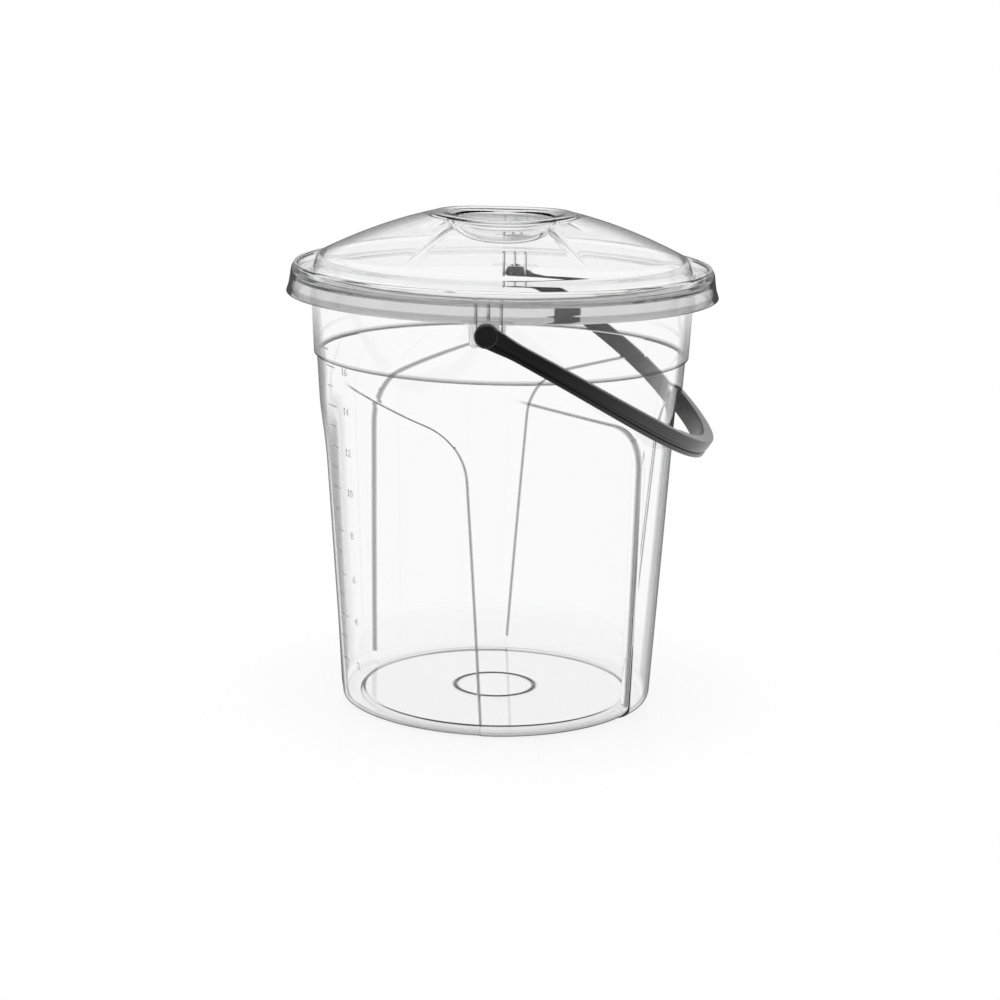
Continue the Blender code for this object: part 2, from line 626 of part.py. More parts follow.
def lid_profile():
    """(radius, height) down the lid's outside from the dome's shoulder, and back up its inside."""
    channel_top = CHANNEL_FLOOR_HEIGHT
    underside = channel_top - LID_WALL
    bead_inner = BEAD_OUTER_RADIUS - BEAD_WIDTH
    bead_low = BEAD_TOP_HEIGHT - BEAD_ROUND
    hollow_top = BEAD_TOP_HEIGHT - LID_WALL
    hollow_middle = BEAD_OUTER_RADIUS - BEAD_WIDTH / 2
    outside = [
        (DOME_FOOT_RADIUS, DOME_EDGE_HEIGHT - DOME_SHOULDER),
        (CHANNEL_INNER_RADIUS, channel_top + LID_WALL / 2),
        (CHANNEL_INNER_RADIUS + LID_WALL / 2, channel_top),
        (bead_inner - LID_WALL / 2, channel_top),
        (bead_inner, bead_low),
        (bead_inner + BEAD_ROUND, BEAD_TOP_HEIGHT),
        (BEAD_OUTER_RADIUS - BEAD_ROUND, BEAD_TOP_HEIGHT),
        (BEAD_OUTER_RADIUS, bead_low),
        (SKIRT_MIDDLE_RADIUS, SKIRT_MIDDLE_HEIGHT),
        (SKIRT_FLARE_RADIUS, SKIRT_FLARE_HEIGHT),
        (SKIRT_BOTTOM_RADIUS, SKIRT_BOTTOM_HEIGHT),
    ]
    inside = [
        (SKIRT_BOTTOM_RADIUS - LID_WALL, SKIRT_BOTTOM_HEIGHT),
        (SKIRT_FLARE_RADIUS - LID_WALL, SKIRT_FLARE_HEIGHT),
        (SKIRT_MIDDLE_RADIUS - LID_WALL, SKIRT_MIDDLE_HEIGHT),
        (hollow_middle + LID_WALL / 4, hollow_top),
        (hollow_middle - LID_WALL / 4, hollow_top),
        (bead_inner + LID_WALL * 3 / 4, underside),
        (CHANNEL_INNER_RADIUS - LID_WALL, underside),
        (DOME_FOOT_RADIUS - LID_WALL, DOME_EDGE_HEIGHT - DOME_SHOULDER - LID_WALL / 2),
    ]
    return outside, inside


def add_lid(finish):
    """The lid as one skin, from the bowl out over the crown and the skirt and back underneath."""
    bowl, crown = bowl_stations(), crown_stations()
    outside, inside = lid_profile()

    def ring(radius, height, over):
        return [
            polar(radius, angle, height - (wedge_drop(over) if in_wedge else 0) - ring_dip(over, angle))
            for angle, in_wedge in lid_spokes(over)
        ]

    def level(stations):
        return [
            [polar(radius, angle, height) for angle, _ in lid_spokes(DOME_EDGE_RADIUS)]
            for radius, height in stations
        ]

    under_crown = [
        ring(radius, height - LID_WALL, radius) for radius, height in crown if radius > BOWL_RADIUS + LID_WALL
    ]
    wider = (BOWL_RADIUS + LID_WALL) / BOWL_RADIUS
    under_bowl = level((radius * wider, height - LID_WALL) for radius, height in bowl)
    rings = level(bowl) + [ring(radius, height, radius) for radius, height in crown]
    rings += level(outside) + level(inside) + under_crown[::-1] + under_bowl[::-1]
    bottom = bowl_height(0)
    shape = shell_from_rings(rings, (0, 0, bottom), (0, 0, bottom - LID_WALL))
    return add_object("lid", shape, finish)


def strap_section(width, extra):
    """The strap's outline as (outwards, across) from its middle, grooved along its outer face."""
    out = STRAP_THICKNESS / 2
    inner = -out - extra
    half = width / 2
    edge = STRAP_EDGE
    groove = -width * GROOVE_OFFSET_SHARE
    lip = GROOVE_WIDTH / 2
    return [
        (out, groove + lip + edge / 2),
        (out, half - edge),
        (out - edge, half),
        (inner + edge, half),
        (inner, half - edge),
        (inner, edge - half),
        (inner + edge, -half),
        (out - edge, -half),
        (out, edge - half),
        (out, groove - lip - edge / 2),
        (out - GROOVE_DEPTH, groove - lip / 2),
        (out - GROOVE_DEPTH, groove + lip / 2),
    ]


def strap_frame(turn):
    """Centre, outward direction and width share of the bowed strap at a turn from 0 to pi."""
    inner_half_width = EAR_BOSS_FACE + PEG_SLACK
    half_width = inner_half_width + STRAP_THICKNESS / 2
    reach = STRAP_REACH - STRAP_THICKNESS / 2
    share = math.sin(turn)
    centre = Vector((reach * share, -half_width * math.cos(turn), STRAP_CAMBER * 4 * share * (1 - share)))
    outward = Vector((half_width * share, -reach * math.cos(turn), 0)).normalized()
    return centre, outward, share


def strap_width(share):
    """The strap's width: wider at its grip, and in the neck where it meets its rounded end."""
    neck = smooth(1 - STRAP_REACH * share / STRAP_NECK_LENGTH)
    width = lerp(STRAP_END_WIDTH, STRAP_GRIP_WIDTH, smooth(share))
    return width + (STRAP_NECK_WIDTH - STRAP_END_WIDTH) * neck


def add_strap(name):
    """The bowed strap in the handle's own frame: X along the bow, Y along the pivot, Z across it."""
    shape = bmesh.new()
    rings = []
    for i in range(STRAP_STEPS + 1):
        turn = math.pi * i / STRAP_STEPS
        centre, outward, share = strap_frame(turn)
        width = strap_width(share)
        grip = smooth((GRIP_HALF_LENGTH - abs(centre.y)) / STRAP_THICKNESS + 1)
        outline = strap_section(width, GRIP_EXTRA_THICKNESS * grip)
        rings.append(add_ring(shape, [centre + outward * o + Vector((0, 0, a)) for o, a in outline]))
    for first, second in zip(rings, rings[1:]):
        bridge(shape, first, second)
    shape.faces.new(rings[0])
    shape.faces.new(rings[-1])
    return add_object(name, shape)


def add_handle_end(name, direction):
    """The rounded end with its snap peg, turned to its end of the pivot axis."""
    face = EAR_BOSS_FACE + PEG_SLACK
    head_face = EAR_OUTER_RADIUS - EAR_THICKNESS - PEG_SLACK
    profile = [(0, head_face - PEG_HEAD_LENGTH), (PEG_TIP_RADIUS, head_face - PEG_HEAD_LENGTH)]
    profile += [(PEG_HEAD_RADIUS, head_face - PEG_HEAD_LENGTH / 3), (PEG_HEAD_RADIUS, head_face)]
    profile += [(PEG_RADIUS, head_face), (PEG_RADIUS, face), (END_RADIUS - END_ROUND / 2, face)]
    for i in range(CORNER_STEPS + 1):
        turn = math.pi / 2 * i / CORNER_STEPS
        height = face + END_THICKNESS - END_ROUND + END_ROUND * math.sin(turn)
        profile.append((END_RADIUS - END_ROUND * (1 - math.cos(turn)), height))
    profile.append((0, face + END_THICKNESS + END_ROUND / 4))
    end = add_object(name, turned(profile, ROUND_SEGMENTS))
    end.rotation_euler = (math.pi / 2, 0, direction)
    return end


def add_handle(finish):
    """The handle hangs from its pegs: its origin is on the pivot axis."""
    handle = add_strap("handle")
    handle.data.materials.append(finish)
    for name, direction in (("handle_end_front", 0), ("handle_end_back", math.pi)):
        end = add_handle_end(name, direction)
        end.parent = handle
        combine(handle, end, "UNION")
    handle.location.z = PIVOT_HEIGHT
    handle.rotation_euler.y = HANDLE_REST_ANGLE
    return handle


def main():
    clear_scene()
    clear_plastic = material("clear_plastic", (0.93, 0.94, 0.95), 0.05, 0.9)
    black_plastic = material("black_plastic", (0.035, 0.035, 0.04), 0.38, 0)
    add_bucket(clear_plastic)
    add_lid(clear_plastic)
    add_handle(black_plastic)


main()
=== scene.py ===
"""The looks of a clear plastic storage bucket with a domed lid and a black bail handle.

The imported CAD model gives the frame. The pieces here are finer meshes of the same shapes, in metres,
+Z up. Directions round the bucket are angles from -Y towards +X.
"""

import json
import math

import bmesh
import bpy
from mathutils import Matrix, Vector

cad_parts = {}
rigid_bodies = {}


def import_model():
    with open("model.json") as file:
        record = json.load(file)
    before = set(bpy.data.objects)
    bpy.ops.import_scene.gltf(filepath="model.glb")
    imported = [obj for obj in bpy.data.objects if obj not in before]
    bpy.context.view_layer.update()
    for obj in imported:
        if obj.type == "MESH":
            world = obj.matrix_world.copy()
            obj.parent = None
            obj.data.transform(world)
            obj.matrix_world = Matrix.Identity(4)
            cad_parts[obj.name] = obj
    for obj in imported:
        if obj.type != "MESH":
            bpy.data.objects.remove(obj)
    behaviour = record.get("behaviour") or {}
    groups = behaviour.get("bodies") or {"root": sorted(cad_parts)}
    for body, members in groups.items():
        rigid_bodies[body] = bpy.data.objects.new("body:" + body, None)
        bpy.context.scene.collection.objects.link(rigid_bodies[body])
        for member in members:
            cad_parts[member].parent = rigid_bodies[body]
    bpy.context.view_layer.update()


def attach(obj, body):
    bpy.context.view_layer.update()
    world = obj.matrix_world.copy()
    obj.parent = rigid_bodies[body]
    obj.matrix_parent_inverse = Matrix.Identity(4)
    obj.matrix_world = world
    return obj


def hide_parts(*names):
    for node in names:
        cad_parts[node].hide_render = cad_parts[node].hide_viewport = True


# Bucket wall
WALL = 0.0022
BASE_CONE_RADIUS = 0.1317
COLLAR_FOOT_RADIUS = 0.1500
COLLAR_FOOT_HEIGHT = 0.2876
COLLAR_RADIUS = 0.1524
COLLAR_HEIGHT = 0.2885
NECK_RADIUS = 0.1554

# Bucket base
FOOT_OUTER_RADIUS = 0.1207
FOOT_ROUND_RUN = 0.0020
FLOOR_EDGE_RADIUS = 0.1106
FLOOR_EDGE_RUN = 0.0022
FOOT_CORNER_HEIGHT = 0.0115
FLOOR_RAISE = 0.0030
FLOOR_THICKNESS = 0.0025
GATE_RING_RADIUS = 0.0330
GATE_RING_WIDTH = 0.0026
GATE_RING_HEIGHT = 0.0008
BASE_ROUNDS = (0, 0, 0.0010, 0.0006)
FLOOR_ROUNDS = (0.0006, 0.0009, 0.0004, 0.0010, 0.0004)

# Bucket rim
RIM_HEIGHT = 0.3520
RIM_THICKNESS = 0.0022
LIP_TOP_RADIUS = 0.1693
LIP_BOTTOM_RADIUS = 0.1703
LIP_BOTTOM_HEIGHT = 0.3372
LIP_THICKNESS = 0.0020
RIM_ROUNDS = (0.0006, 0.0008, 0.0008, 0.0005, 0.0005, 0.0010, 0.0012, 0.0006)

# Swooshes pressed into the wall
SWOOSH_COUNT = 6
SWOOSH_CORNER_ANGLE = math.radians(-7.8)
SWOOSH_REACH = math.radians(46.3)
SWOOSH_LEAN = math.radians(6.0)
SWOOSH_START_HEIGHT = 0.2760
SWOOSH_CORNER_HEIGHT = 0.2415
SWOOSH_CORNER_ROUND = 0.0450
SWOOSH_DEPTH = 0.0042
SWOOSH_STEP_RUN = 0.0042
SWOOSH_TOP_STEP_RUN = 0.0036
SWOOSH_FULL_AT_FOOT = math.radians(10.0)
SWOOSH_FULL_AT_TOP = math.radians(24.0)
SWOOSH_OUTER_CORNER_CUT = 0.25
SOFT_SWOOSH = 5
SOFT_SIDE_FADE = math.radians(16.0)
SOFT_TOP_FADE = 0.0460

# Ears
PIVOT_HEIGHT = 0.3298
EAR_OUTER_RADIUS = 0.1715
EAR_THICKNESS = 0.0026
EAR_TOP_HEIGHT = 0.3390
EAR_BOTTOM_HEIGHT = 0.3190
EAR_HALF_WIDTH = 0.0135
EAR_CORNER_ROUND = 0.0045
EAR_ROOT_ROUND = 0.0055
EAR_SIDE_DRAFT = 0.0004
EAR_EDGE_ROUND = 0.0007
EAR_RIB_PITCH = 0.0095
EAR_RIB_THICKNESS = 0.0016
EAR_RIB_BOTTOM_HEIGHT = 0.3215
EAR_MIDDLE_RIB_BOTTOM_HEIGHT = 0.3390
EAR_RIB_BITE = 0.0004
EAR_RIB_EDGE = 0.0003
EAR_BOSS_RADIUS = 0.0056
EAR_BOSS_FACE = 0.1760
EAR_BOSS_BITE = 0.0010
EAR_BOSS_ROUNDS = (0.0003, 0.0005, 0.0003)
PIVOT_HOLE_RADIUS = 0.0038

# Lid
LID_WALL = 0.0020
CHANNEL_FLOOR_HEIGHT = 0.3543
CHANNEL_INNER_RADIUS = 0.1538
CHANNEL_WALL_RUN = 0.0004
BEAD_OUTER_RADIUS = 0.1711
BEAD_WIDTH = 0.0050
BEAD_TOP_HEIGHT = 0.3615
BEAD_OUTER_ROUND = (0.0026, 0.0050)
BEAD_INNER_FOOT_RUN = 0.0006
BEAD_INNER_TOP_RUN = 0.0003
SKIRT_MIDDLE = (0.1719, 0.3500)
SKIRT_FLARE = (0.1730, 0.3435)
SKIRT_BOTTOM = (0.1750, 0.3376)
DOME_FOOT_RADIUS = 0.1510
DOME_EDGE_RADIUS = 0.1488
DOME_EDGE_HEIGHT = 0.3676
DOME_SHOULDER = 0.0030
DOME_RISE = 0.0418
DOME_FULLNESS = 1.80
DOME_EDGE_RUN = 0.0010
DOME_END_RUN = 0.0015
DOME_EDGE_WALL_SHARE = 0.8
BOWL_RADIUS = 0.0405
BOWL_RIM_HEIGHT = 0.4000
BOWL_DEPTH = 0.0205
BOWL_FULLNESS = 2.5
BOWL_FIRST_SHARE = 0.06
BOWL_LAST_SHARE = 0.985
RING_TOP_RADIUS = 0.0510
RING_TOP_HEIGHT = 0.4026
RING_EDGE_RADIUS = 0.0580
RING_EDGE_DROP = 0.0006
RING_GROOVE_RUN = 0.0022
RING_GROOVE_DEPTH = 0.0012
RING_END_RUN = 0.0030
RING_ROUNDS = (0.0016, 0.0300, 0.0014, 0.0008, 0.0016)
RING_DIP = 0.0012
RING_DIP_SPREAD = math.radians(62.0)
WEDGE_HALF_ANGLE = math.radians(30.5)
WEDGE_TURN = math.radians(1.2)
WEDGE_STEP_RUN = 0.0040
WEDGE_DROP = 0.0028
WEDGE_END_RADIUS = 0.1460
LOBE_CORNER_RUN = 0.0130
LOBE_CORNER_ANGLE = math.radians(15.0)
MOST_SLANTED_WALL = 1.3
LID_ROUNDS = (
    0.0050, 0.0060, 0.0014, 0.0012, 0.0014, 0.0060, 0.0060, 0.0060, 0.0060, 0.0004, 0.0004, 0.0060, 0.0030, 0.0002,
    0.0002, 0.0008, 0.0010, 0.0040,
)

# Handle
HANDLE_REST_ANGLE = math.radians(33.3)
STRAP_INNER_HALF_WIDTH = 0.1764
STRAP_THICKNESS = 0.0076
STRAP_REACH = 0.2050
STRAP_END_WIDTH = 0.0128
STRAP_GRIP_WIDTH = 0.0156
STRAP_NECK_WIDTH = 0.0168
STRAP_NECK_LENGTH = 0.0300
STRAP_CAMBER = 0.0060
STRAP_EDGE = 0.0014
GROOVE_WIDTH = 0.0032
GROOVE_DEPTH = 0.0020
GROOVE_OFFSET_SHARE = 0.17
GROOVE_FLOOR_SHARE = 0.6
GROOVE_ROUND = 0.0006
GRIP_HALF_LENGTH = 0.0900
GRIP_EXTRA_THICKNESS = 0.0026
END_RADIUS = 0.0092
END_THICKNESS = 0.0080
END_ROUND = 0.0025
PEG_RADIUS = 0.0034
PEG_HEAD_RADIUS = 0.0043
PEG_TIP_RADIUS = 0.0030
PEG_HEAD_FACE = 0.1685
PEG_HEAD_LENGTH = 0.0036
PEG_ROUNDS = (0.0003, 0.0003, 0.0002, 0, 0.0003, 0.0008, END_ROUND)
CORE_RADIUS = 0.0004

# Litre scale: the height of each litre's mark
LITRE_HEIGHTS = {
    2: 0.0430, 3: 0.0620, 4: 0.0804, 5: 0.0969, 6: 0.1155, 7: 0.1330, 8: 0.1520, 9: 0.1688,
    10: 0.1870, 11: 0.2030, 12: 0.2200, 13: 0.2368, 14: 0.2533, 15: 0.2690, 16: 0.2850, 17: 0.2990,
}
TICK_ANGLE = math.radians(296.6)
LONG_TICK = math.radians(6.0)
SHORT_TICK = math.radians(3.6)
TICK_HEIGHT = 0.0009
TICK_RELIEF = 0.0005
TICK_SLOPE = 0.0002
TICK_BITE = 0.0001
NUMERAL_ANGLE = math.radians(308.6)
NUMERAL_SIZE = 0.0085
NUMERAL_DROP = 0.0012

# How dark the painted shade along the plastic's moulded edges is, standing in for the dark lines that refraction
# draws there, and how far from an edge the painted shade fades out. FLAT_FACE marks flat faces, which stay clear
# of painted shade when they are seen edge-on.
FLAT_FACE = -1
PAINTED_SHADE_REACH = 0.0036
DOME_FOOT_PAINTED_SHADE_REACH = 0.0030
FLAT_RIM_DEPTH = 0.0033
PRESSED_EDGE_PAINTED_SHADE = 0.68
COLLAR_PAINTED_SHADE = 0.75
GATE_RING_PAINTED_SHADE = 0.65
FLOOR_RING_PAINTED_SHADE = 0.16
FOOT_PAINTED_SHADE = 0.60
FOOT_PAINTED_SHADE_HEIGHT = 0.0110
WEDGE_PAINTED_SHADE = 0.55
DOME_FOOT_PAINTED_SHADE = 0.12
SKIRT_PAINTED_SHADES = (
    (0.3376, 0.40), (0.3395, 0.55), (0.3425, 0.58), (0.3440, 0.30), (0.3495, 0.30), (0.3505, 0.55), (0.3540, 0.55),
    (0.3550, 0.25), (0.3600, 0.05), (0.3606, 0.0), (0.3610, FLAT_FACE), (0.3620, FLAT_FACE),
)

# How much painted shade the clear plastic gets as it is seen more edge-on, from 0 face-on to 1 edge-on, standing
# in for its dark refracted edges
BODY_PAINTED_SHADE_STOPS = ((0.0, 0.0), (0.73, 0.0), (0.76, 0.30), (0.80, 0.52), (0.86, 0.72), (0.93, 0.80), (1.0, 0.85))
LID_PAINTED_SHADE_STOPS = ((0.0, 0.0), (0.78, 0.0), (0.83, 0.34), (0.87, 0.56), (0.93, 0.76), (1.0, 0.85))

# How edge-on a moulded edge has to turn before its painted shade deepens, where that ends, and how many times it
# deepens
BODY_PAINTED_SHADE_SLANT = (0.70, 0.80, 1.8)
LID_PAINTED_SHADE_SLANT = (0.74, 0.96, 7.0)

# How finely the shapes are divided
LINE_STEPS = 22
SIDE_STEPS = 26
CORNER_STEPS = 8
STEP_ROWS = 5
PLAIN_STEPS = 8
FOOT_STEPS = 10
ROUND_STEPS = 5
FINE_ROUND_STEPS = 3
RIM_ROUND_STEPS = 4
PEG_ROUND_STEPS = 6
EAR_STEPS = 8
TICK_STEPS = 8
BOWL_STEPS = 16
DOME_STEPS = 26
WEDGE_STEPS = 30
LOBE_STEPS = 60
STRAP_STEPS = 120
ROUND_SEGMENTS = 64

# The camera, matched to the photograph
CAMERA_PLACE = (0.12246, -1.94647, 0.61524)
CAMERA_TARGET = (0.00141, 0, 0.16435)
CAMERA_ROLL = math.radians(1.177)
CAMERA_LENS = 87.126

# The clear plastic: its refractive indices, how uneven its skin is and how much light it takes along the way
BODY_IOR = 1.33
LID_IOR = 1.22
BODY_WAVINESS = 0.05
LID_WAVINESS = 0.08
PLASTIC_DENSITY = 28

# The studio: each softbox's place, width, height and power
SOFTBOX_TARGET = (0, 0, 0.2)
SOFTBOXES = {
    "softbox_above": ((-0.5, -0.7, 1.9), 1.4, 1.4, 9),
    "softbox_left": ((-1.9, -0.9, 0.7), 0.5, 1.6, 5),
    "softbox_right": ((1.9, -0.7, 0.7), 0.5, 1.6, 4),
}
FLOOR_RADIUS = 14
FLOOR_DROP = 0.0002
SHADE_RADIUS = 0.12
SHADE_END_RADIUS = 0.27


def lerp(a, b, t):
    return a + (b - a) * t


def smooth(t):
    t = min(max(t, 0.0), 1.0)
    return t * t * (3 - 2 * t)


def polar(radius, angle, height):
    """A point at an angle measured from -Y towards +X."""
    return Vector((radius * math.sin(angle), -radius * math.cos(angle), height))


def arc_steps(first, last, steps):
    return [lerp(first, last, i / steps) for i in range(steps + 1)]


def rounded(points, radii, steps=ROUND_STEPS):
    """A line through (radius, height) points with its corners rounded, where a radius is given."""
    line = [Vector(points[0])]
    for before, corner, after, radius in zip(points, points[1:], points[2:], radii):
        before, corner, after = Vector(before), Vector(corner), Vector(after)
        back, ahead = (before - corner), (after - corner)
        angle = back.angle(ahead)
        if radius <= 0 or angle > math.radians(178):
            line.append(corner)
            continue
        reach = min(radius / math.tan(angle / 2), back.length * 0.49, ahead.length * 0.49)
        start, end = corner + back.normalized() * reach, corner + ahead.normalized() * reach
        for t in arc_steps(0, 1, steps):
            line.append(start.lerp(corner, t).lerp(corner.lerp(end, t), t))
    line.append(Vector(points[-1]))
    return [tuple(p) for p in line]


def bridge(shape, first, second):
    """A band of faces between two loops of the same number of points."""
    for i in range(len(first)):
        j = (i + 1) % len(first)
        shape.faces.new((first[i], first[j], second[j], second[i]))


def mesh_object(name, shape, sharp=40):
    """An object from a finished shape, smooth but for its edges sharper than the angle."""
    bmesh.ops.recalc_face_normals(shape, faces=shape.faces)
    mesh = bpy.data.meshes.new(name)
    shape.to_mesh(mesh)
    shape.free()
    mesh.shade_smooth()
    mesh.set_sharp_from_angle(angle=math.radians(sharp))
    obj = bpy.data.objects.new(name, mesh)
    bpy.context.scene.collection.objects.link(obj)
    return obj


def with_stops(line, axis, stops):
    """The line with a point added wherever its radius (axis 0) or height (axis 1) crosses a stop."""
    made = [line[0]]
    for first, last in zip(line, line[1:]):
        crossed = [stop for stop in stops if (stop - first[axis]) * (stop - last[axis]) < 0]
        for share in sorted((stop - first[axis]) / (last[axis] - first[axis]) for stop in crossed):
            made.append((lerp(first[0], last[0], share), lerp(first[1], last[1], share)))
        made.append(last)
    return made


def bump_at(value, centre, reach, amount):
    """An amount that fades from a centre to nothing at a reach on each side."""
    return amount * smooth(1 - abs(value - centre) / reach)


def shell_from_rings(rings, greys, first_centre, last_centre):
    """A closed skin over rings of points; each ring has one painted edge shade, or one for each point."""
    shape = bmesh.new()
    # The layer holds each point's painted shade, standing in for dark refraction lines.
    layer = shape.verts.layers.float.new("edge_painted_shade")
    made = []
    for ring, grey in zip(rings, greys, strict=True):
        made.append([shape.verts.new(point) for point in ring])
        for i, vert in enumerate(made[-1]):
            vert[layer] = grey[i] if isinstance(grey, list) else grey
    for first, second in zip(made, made[1:]):
        bridge(shape, first, second)
    for ring, centre in ((made[0], first_centre), (made[-1], last_centre)):
        tip = shape.verts.new(centre)
        for i in range(len(ring)):
            shape.faces.new((ring[i], ring[(i + 1) % len(ring)], tip))
    return shape


def cone_radius(z):
    """Outer radius of the wall between the swooshes."""
    return lerp(BASE_CONE_RADIUS, COLLAR_FOOT_RADIUS, z / COLLAR_FOOT_HEIGHT)


def plain_radius(z):
    """Outer radius of the whole wall where nothing is pressed in."""
    if z <= COLLAR_FOOT_HEIGHT:
        return cone_radius(z)
    if z <= COLLAR_HEIGHT:
        share = (z - COLLAR_FOOT_HEIGHT) / (COLLAR_HEIGHT - COLLAR_FOOT_HEIGHT)
        return lerp(COLLAR_FOOT_RADIUS, COLLAR_RADIUS, share)
    share = (z - COLLAR_HEIGHT) / (RIM_HEIGHT - RIM_THICKNESS - COLLAR_HEIGHT)
    return lerp(COLLAR_RADIUS, NECK_RADIUS, share)


UNROLL_RADIUS = cone_radius(SWOOSH_CORNER_HEIGHT)
PANEL_PITCH = UNROLL_RADIUS * math.tau / SWOOSH_COUNT
SWOOSH_START = Vector((-UNROLL_RADIUS * SWOOSH_REACH, SWOOSH_START_HEIGHT))
SWOOSH_CORNER = Vector((0, SWOOSH_CORNER_HEIGHT))
SWOOSH_FOOT = Vector((UNROLL_RADIUS * SWOOSH_LEAN, FOOT_CORNER_HEIGHT))


def swoosh_edges():
    """The edge's upper stretch, start to mid-corner, and its side stretch, foot to mid-corner."""
    back = (SWOOSH_START - SWOOSH_CORNER).normalized()
    ahead = (SWOOSH_FOOT - SWOOSH_CORNER).normalized()
    half_angle = back.angle(ahead) / 2
    middle = SWOOSH_CORNER + (back + ahead).normalized() * (SWOOSH_CORNER_ROUND / math.sin(half_angle))
    reach = SWOOSH_CORNER_ROUND / math.tan(half_angle)
    first, last = SWOOSH_CORNER + back * reach - middle, SWOOSH_CORNER + ahead * reach - middle
    sweep = first.angle_signed(last)
    arc = [middle + Matrix.Rotation(-a, 2) @ first for a in arc_steps(0, sweep, 2 * CORNER_STEPS)]
    upper = [SWOOSH_START.lerp(arc[0], i / LINE_STEPS) for i in range(LINE_STEPS)]
    side = [SWOOSH_FOOT.lerp(arc[-1], i / SIDE_STEPS) for i in range(SIDE_STEPS)]
    return upper + arc[: CORNER_STEPS + 1], side + arc[CORNER_STEPS:][::-1]


def offset_edge(points, side, run):
    """The edge's points moved square to it: to its left for side 1, to its right for -1."""
    moved = []
    for i, point in enumerate(points):
        along = points[min(i + 1, len(points) - 1)] - points[max(i - 1, 0)]
        normal = Vector((-along.y, along.x)).normalized() * side
        moved.append(point + normal * run)
    return moved


def coons(bottom, top, left, right, across, up):
    """A point of the patch between four edges, at (index, share) across it and (index, share) up it."""
    i, s = across
    j, t = up
    ruled = lerp(bottom[i], top[i], t) + lerp(left[j], right[j], s)
    return ruled - lerp(lerp(bottom[0], bottom[-1], s), lerp(top[0], top[-1], s), t)


def panel_rows():
    """One panel of the unrolled wall, foot to collar, as rows of (point, how far it is pressed in)."""
    upper, side = swoosh_edges()
    outer_upper = offset_edge(upper, 1, SWOOSH_TOP_STEP_RUN)
    outer_side = offset_edge(side, -1, SWOOSH_STEP_RUN)
    outer_corner = (outer_upper[-1] + outer_side[-1]) / 2
    outer_upper[-1] = outer_corner.lerp(outer_upper[-2], SWOOSH_OUTER_CORNER_CUT)
    outer_side[-1] = outer_corner.lerp(outer_side[-2], SWOOSH_OUTER_CORNER_CUT)
    shares = arc_steps(0, 1, STEP_ROWS)[1:]

    across = [(p.x - upper[0].x) / (upper[-1].x - upper[0].x) for p in upper]
    up = [(p.y - side[0].y) / (side[-1].y - side[0].y) for p in side]
    left = [Vector((SWOOSH_START.x, lerp(SWOOSH_FOOT.y, SWOOSH_START.y, t))) for t in up]
    bottom = [left[0].lerp(side[0], t) for t in across]
    next_start = SWOOSH_START + Vector((PANEL_PITCH, 0))

    rows = []
    for j, rise in enumerate(up):
        row = [(coons(bottom, upper, left, side, (i, t), (j, rise)), 1) for i, t in enumerate(across)]
        row += [(side[j].lerp(outer_side[j], t), 1 - smooth(t)) for t in shares]
        far = left[j] + Vector((PANEL_PITCH, 0))
        row += [(outer_side[j].lerp(far, i / PLAIN_STEPS), 0) for i in range(1, PLAIN_STEPS)]
        rows.append(row)
    for t in shares:
        row = [(inner.lerp(outer, t), 1 - smooth(t)) for inner, outer in zip(upper, outer_upper)]
        for s in shares:
            near = side[-1].lerp(outer_side[-1], s)
            far = outer_upper[-1].lerp(outer_corner, s)
            row.append((near.lerp(far, t), 1 - smooth(max(s, t))))
        end = next_start + Vector((0, SWOOSH_TOP_STEP_RUN * t))
        start = row[-1][0]
        row += [(start.lerp(end, i / PLAIN_STEPS), 0) for i in range(1, PLAIN_STEPS)]
        rows.append(row)
    above = [point for point, _ in rows[-1]]
    for t in arc_steps(0, 1, PLAIN_STEPS)[1:]:
        rows.append([(Vector((p.x, lerp(p.y, COLLAR_FOOT_HEIGHT, t))), 0) for p in above])
    return rows


def press_depth(point, soft):
    """How far a pressed panel is set in at an unrolled point."""
    x, z = point
    full = UNROLL_RADIUS * lerp(SWOOSH_FULL_AT_FOOT, SWOOSH_FULL_AT_TOP, z / SWOOSH_START_HEIGHT)
    depth = SWOOSH_DEPTH * smooth((x - SWOOSH_START.x) / (-full - SWOOSH_START.x))
    if soft:
        share = (z - SWOOSH_FOOT.y) / (SWOOSH_CORNER_HEIGHT - SWOOSH_FOOT.y)
        side_x = lerp(SWOOSH_FOOT.x, 0, share)
        top_z = lerp(SWOOSH_CORNER_HEIGHT, SWOOSH_START_HEIGHT, x / SWOOSH_START.x)
        depth *= smooth((side_x - x) / (UNROLL_RADIUS * SOFT_SIDE_FADE))
        depth *= smooth((top_z - z) / SOFT_TOP_FADE)
    return depth


def wall_rings():
    """Rings of (radius, angle, height) up the wall, and each ring's painted edge shade."""
    rows = panel_rows()
    rings, greys = [[] for _ in rows], [[] for _ in rows]
    for panel in range(SWOOSH_COUNT):
        corner_angle = SWOOSH_CORNER_ANGLE + math.tau * panel / SWOOSH_COUNT
        for ring, grey, row in zip(rings, greys, rows):
            for point, share in row:
                full = press_depth(point, panel == SOFT_SWOOSH) if share else 0
                angle = corner_angle + point.x / UNROLL_RADIUS
                ring.append((cone_radius(point.y) - share * full, angle, point.y))
                # Painted shade along each pressed step, standing in for its dark refraction line.
                line = min(6 * share * (1 - share), 1) * smooth(full / SWOOSH_DEPTH * 4)
                grey.append(PRESSED_EDGE_PAINTED_SHADE * line)
    return rings, greys


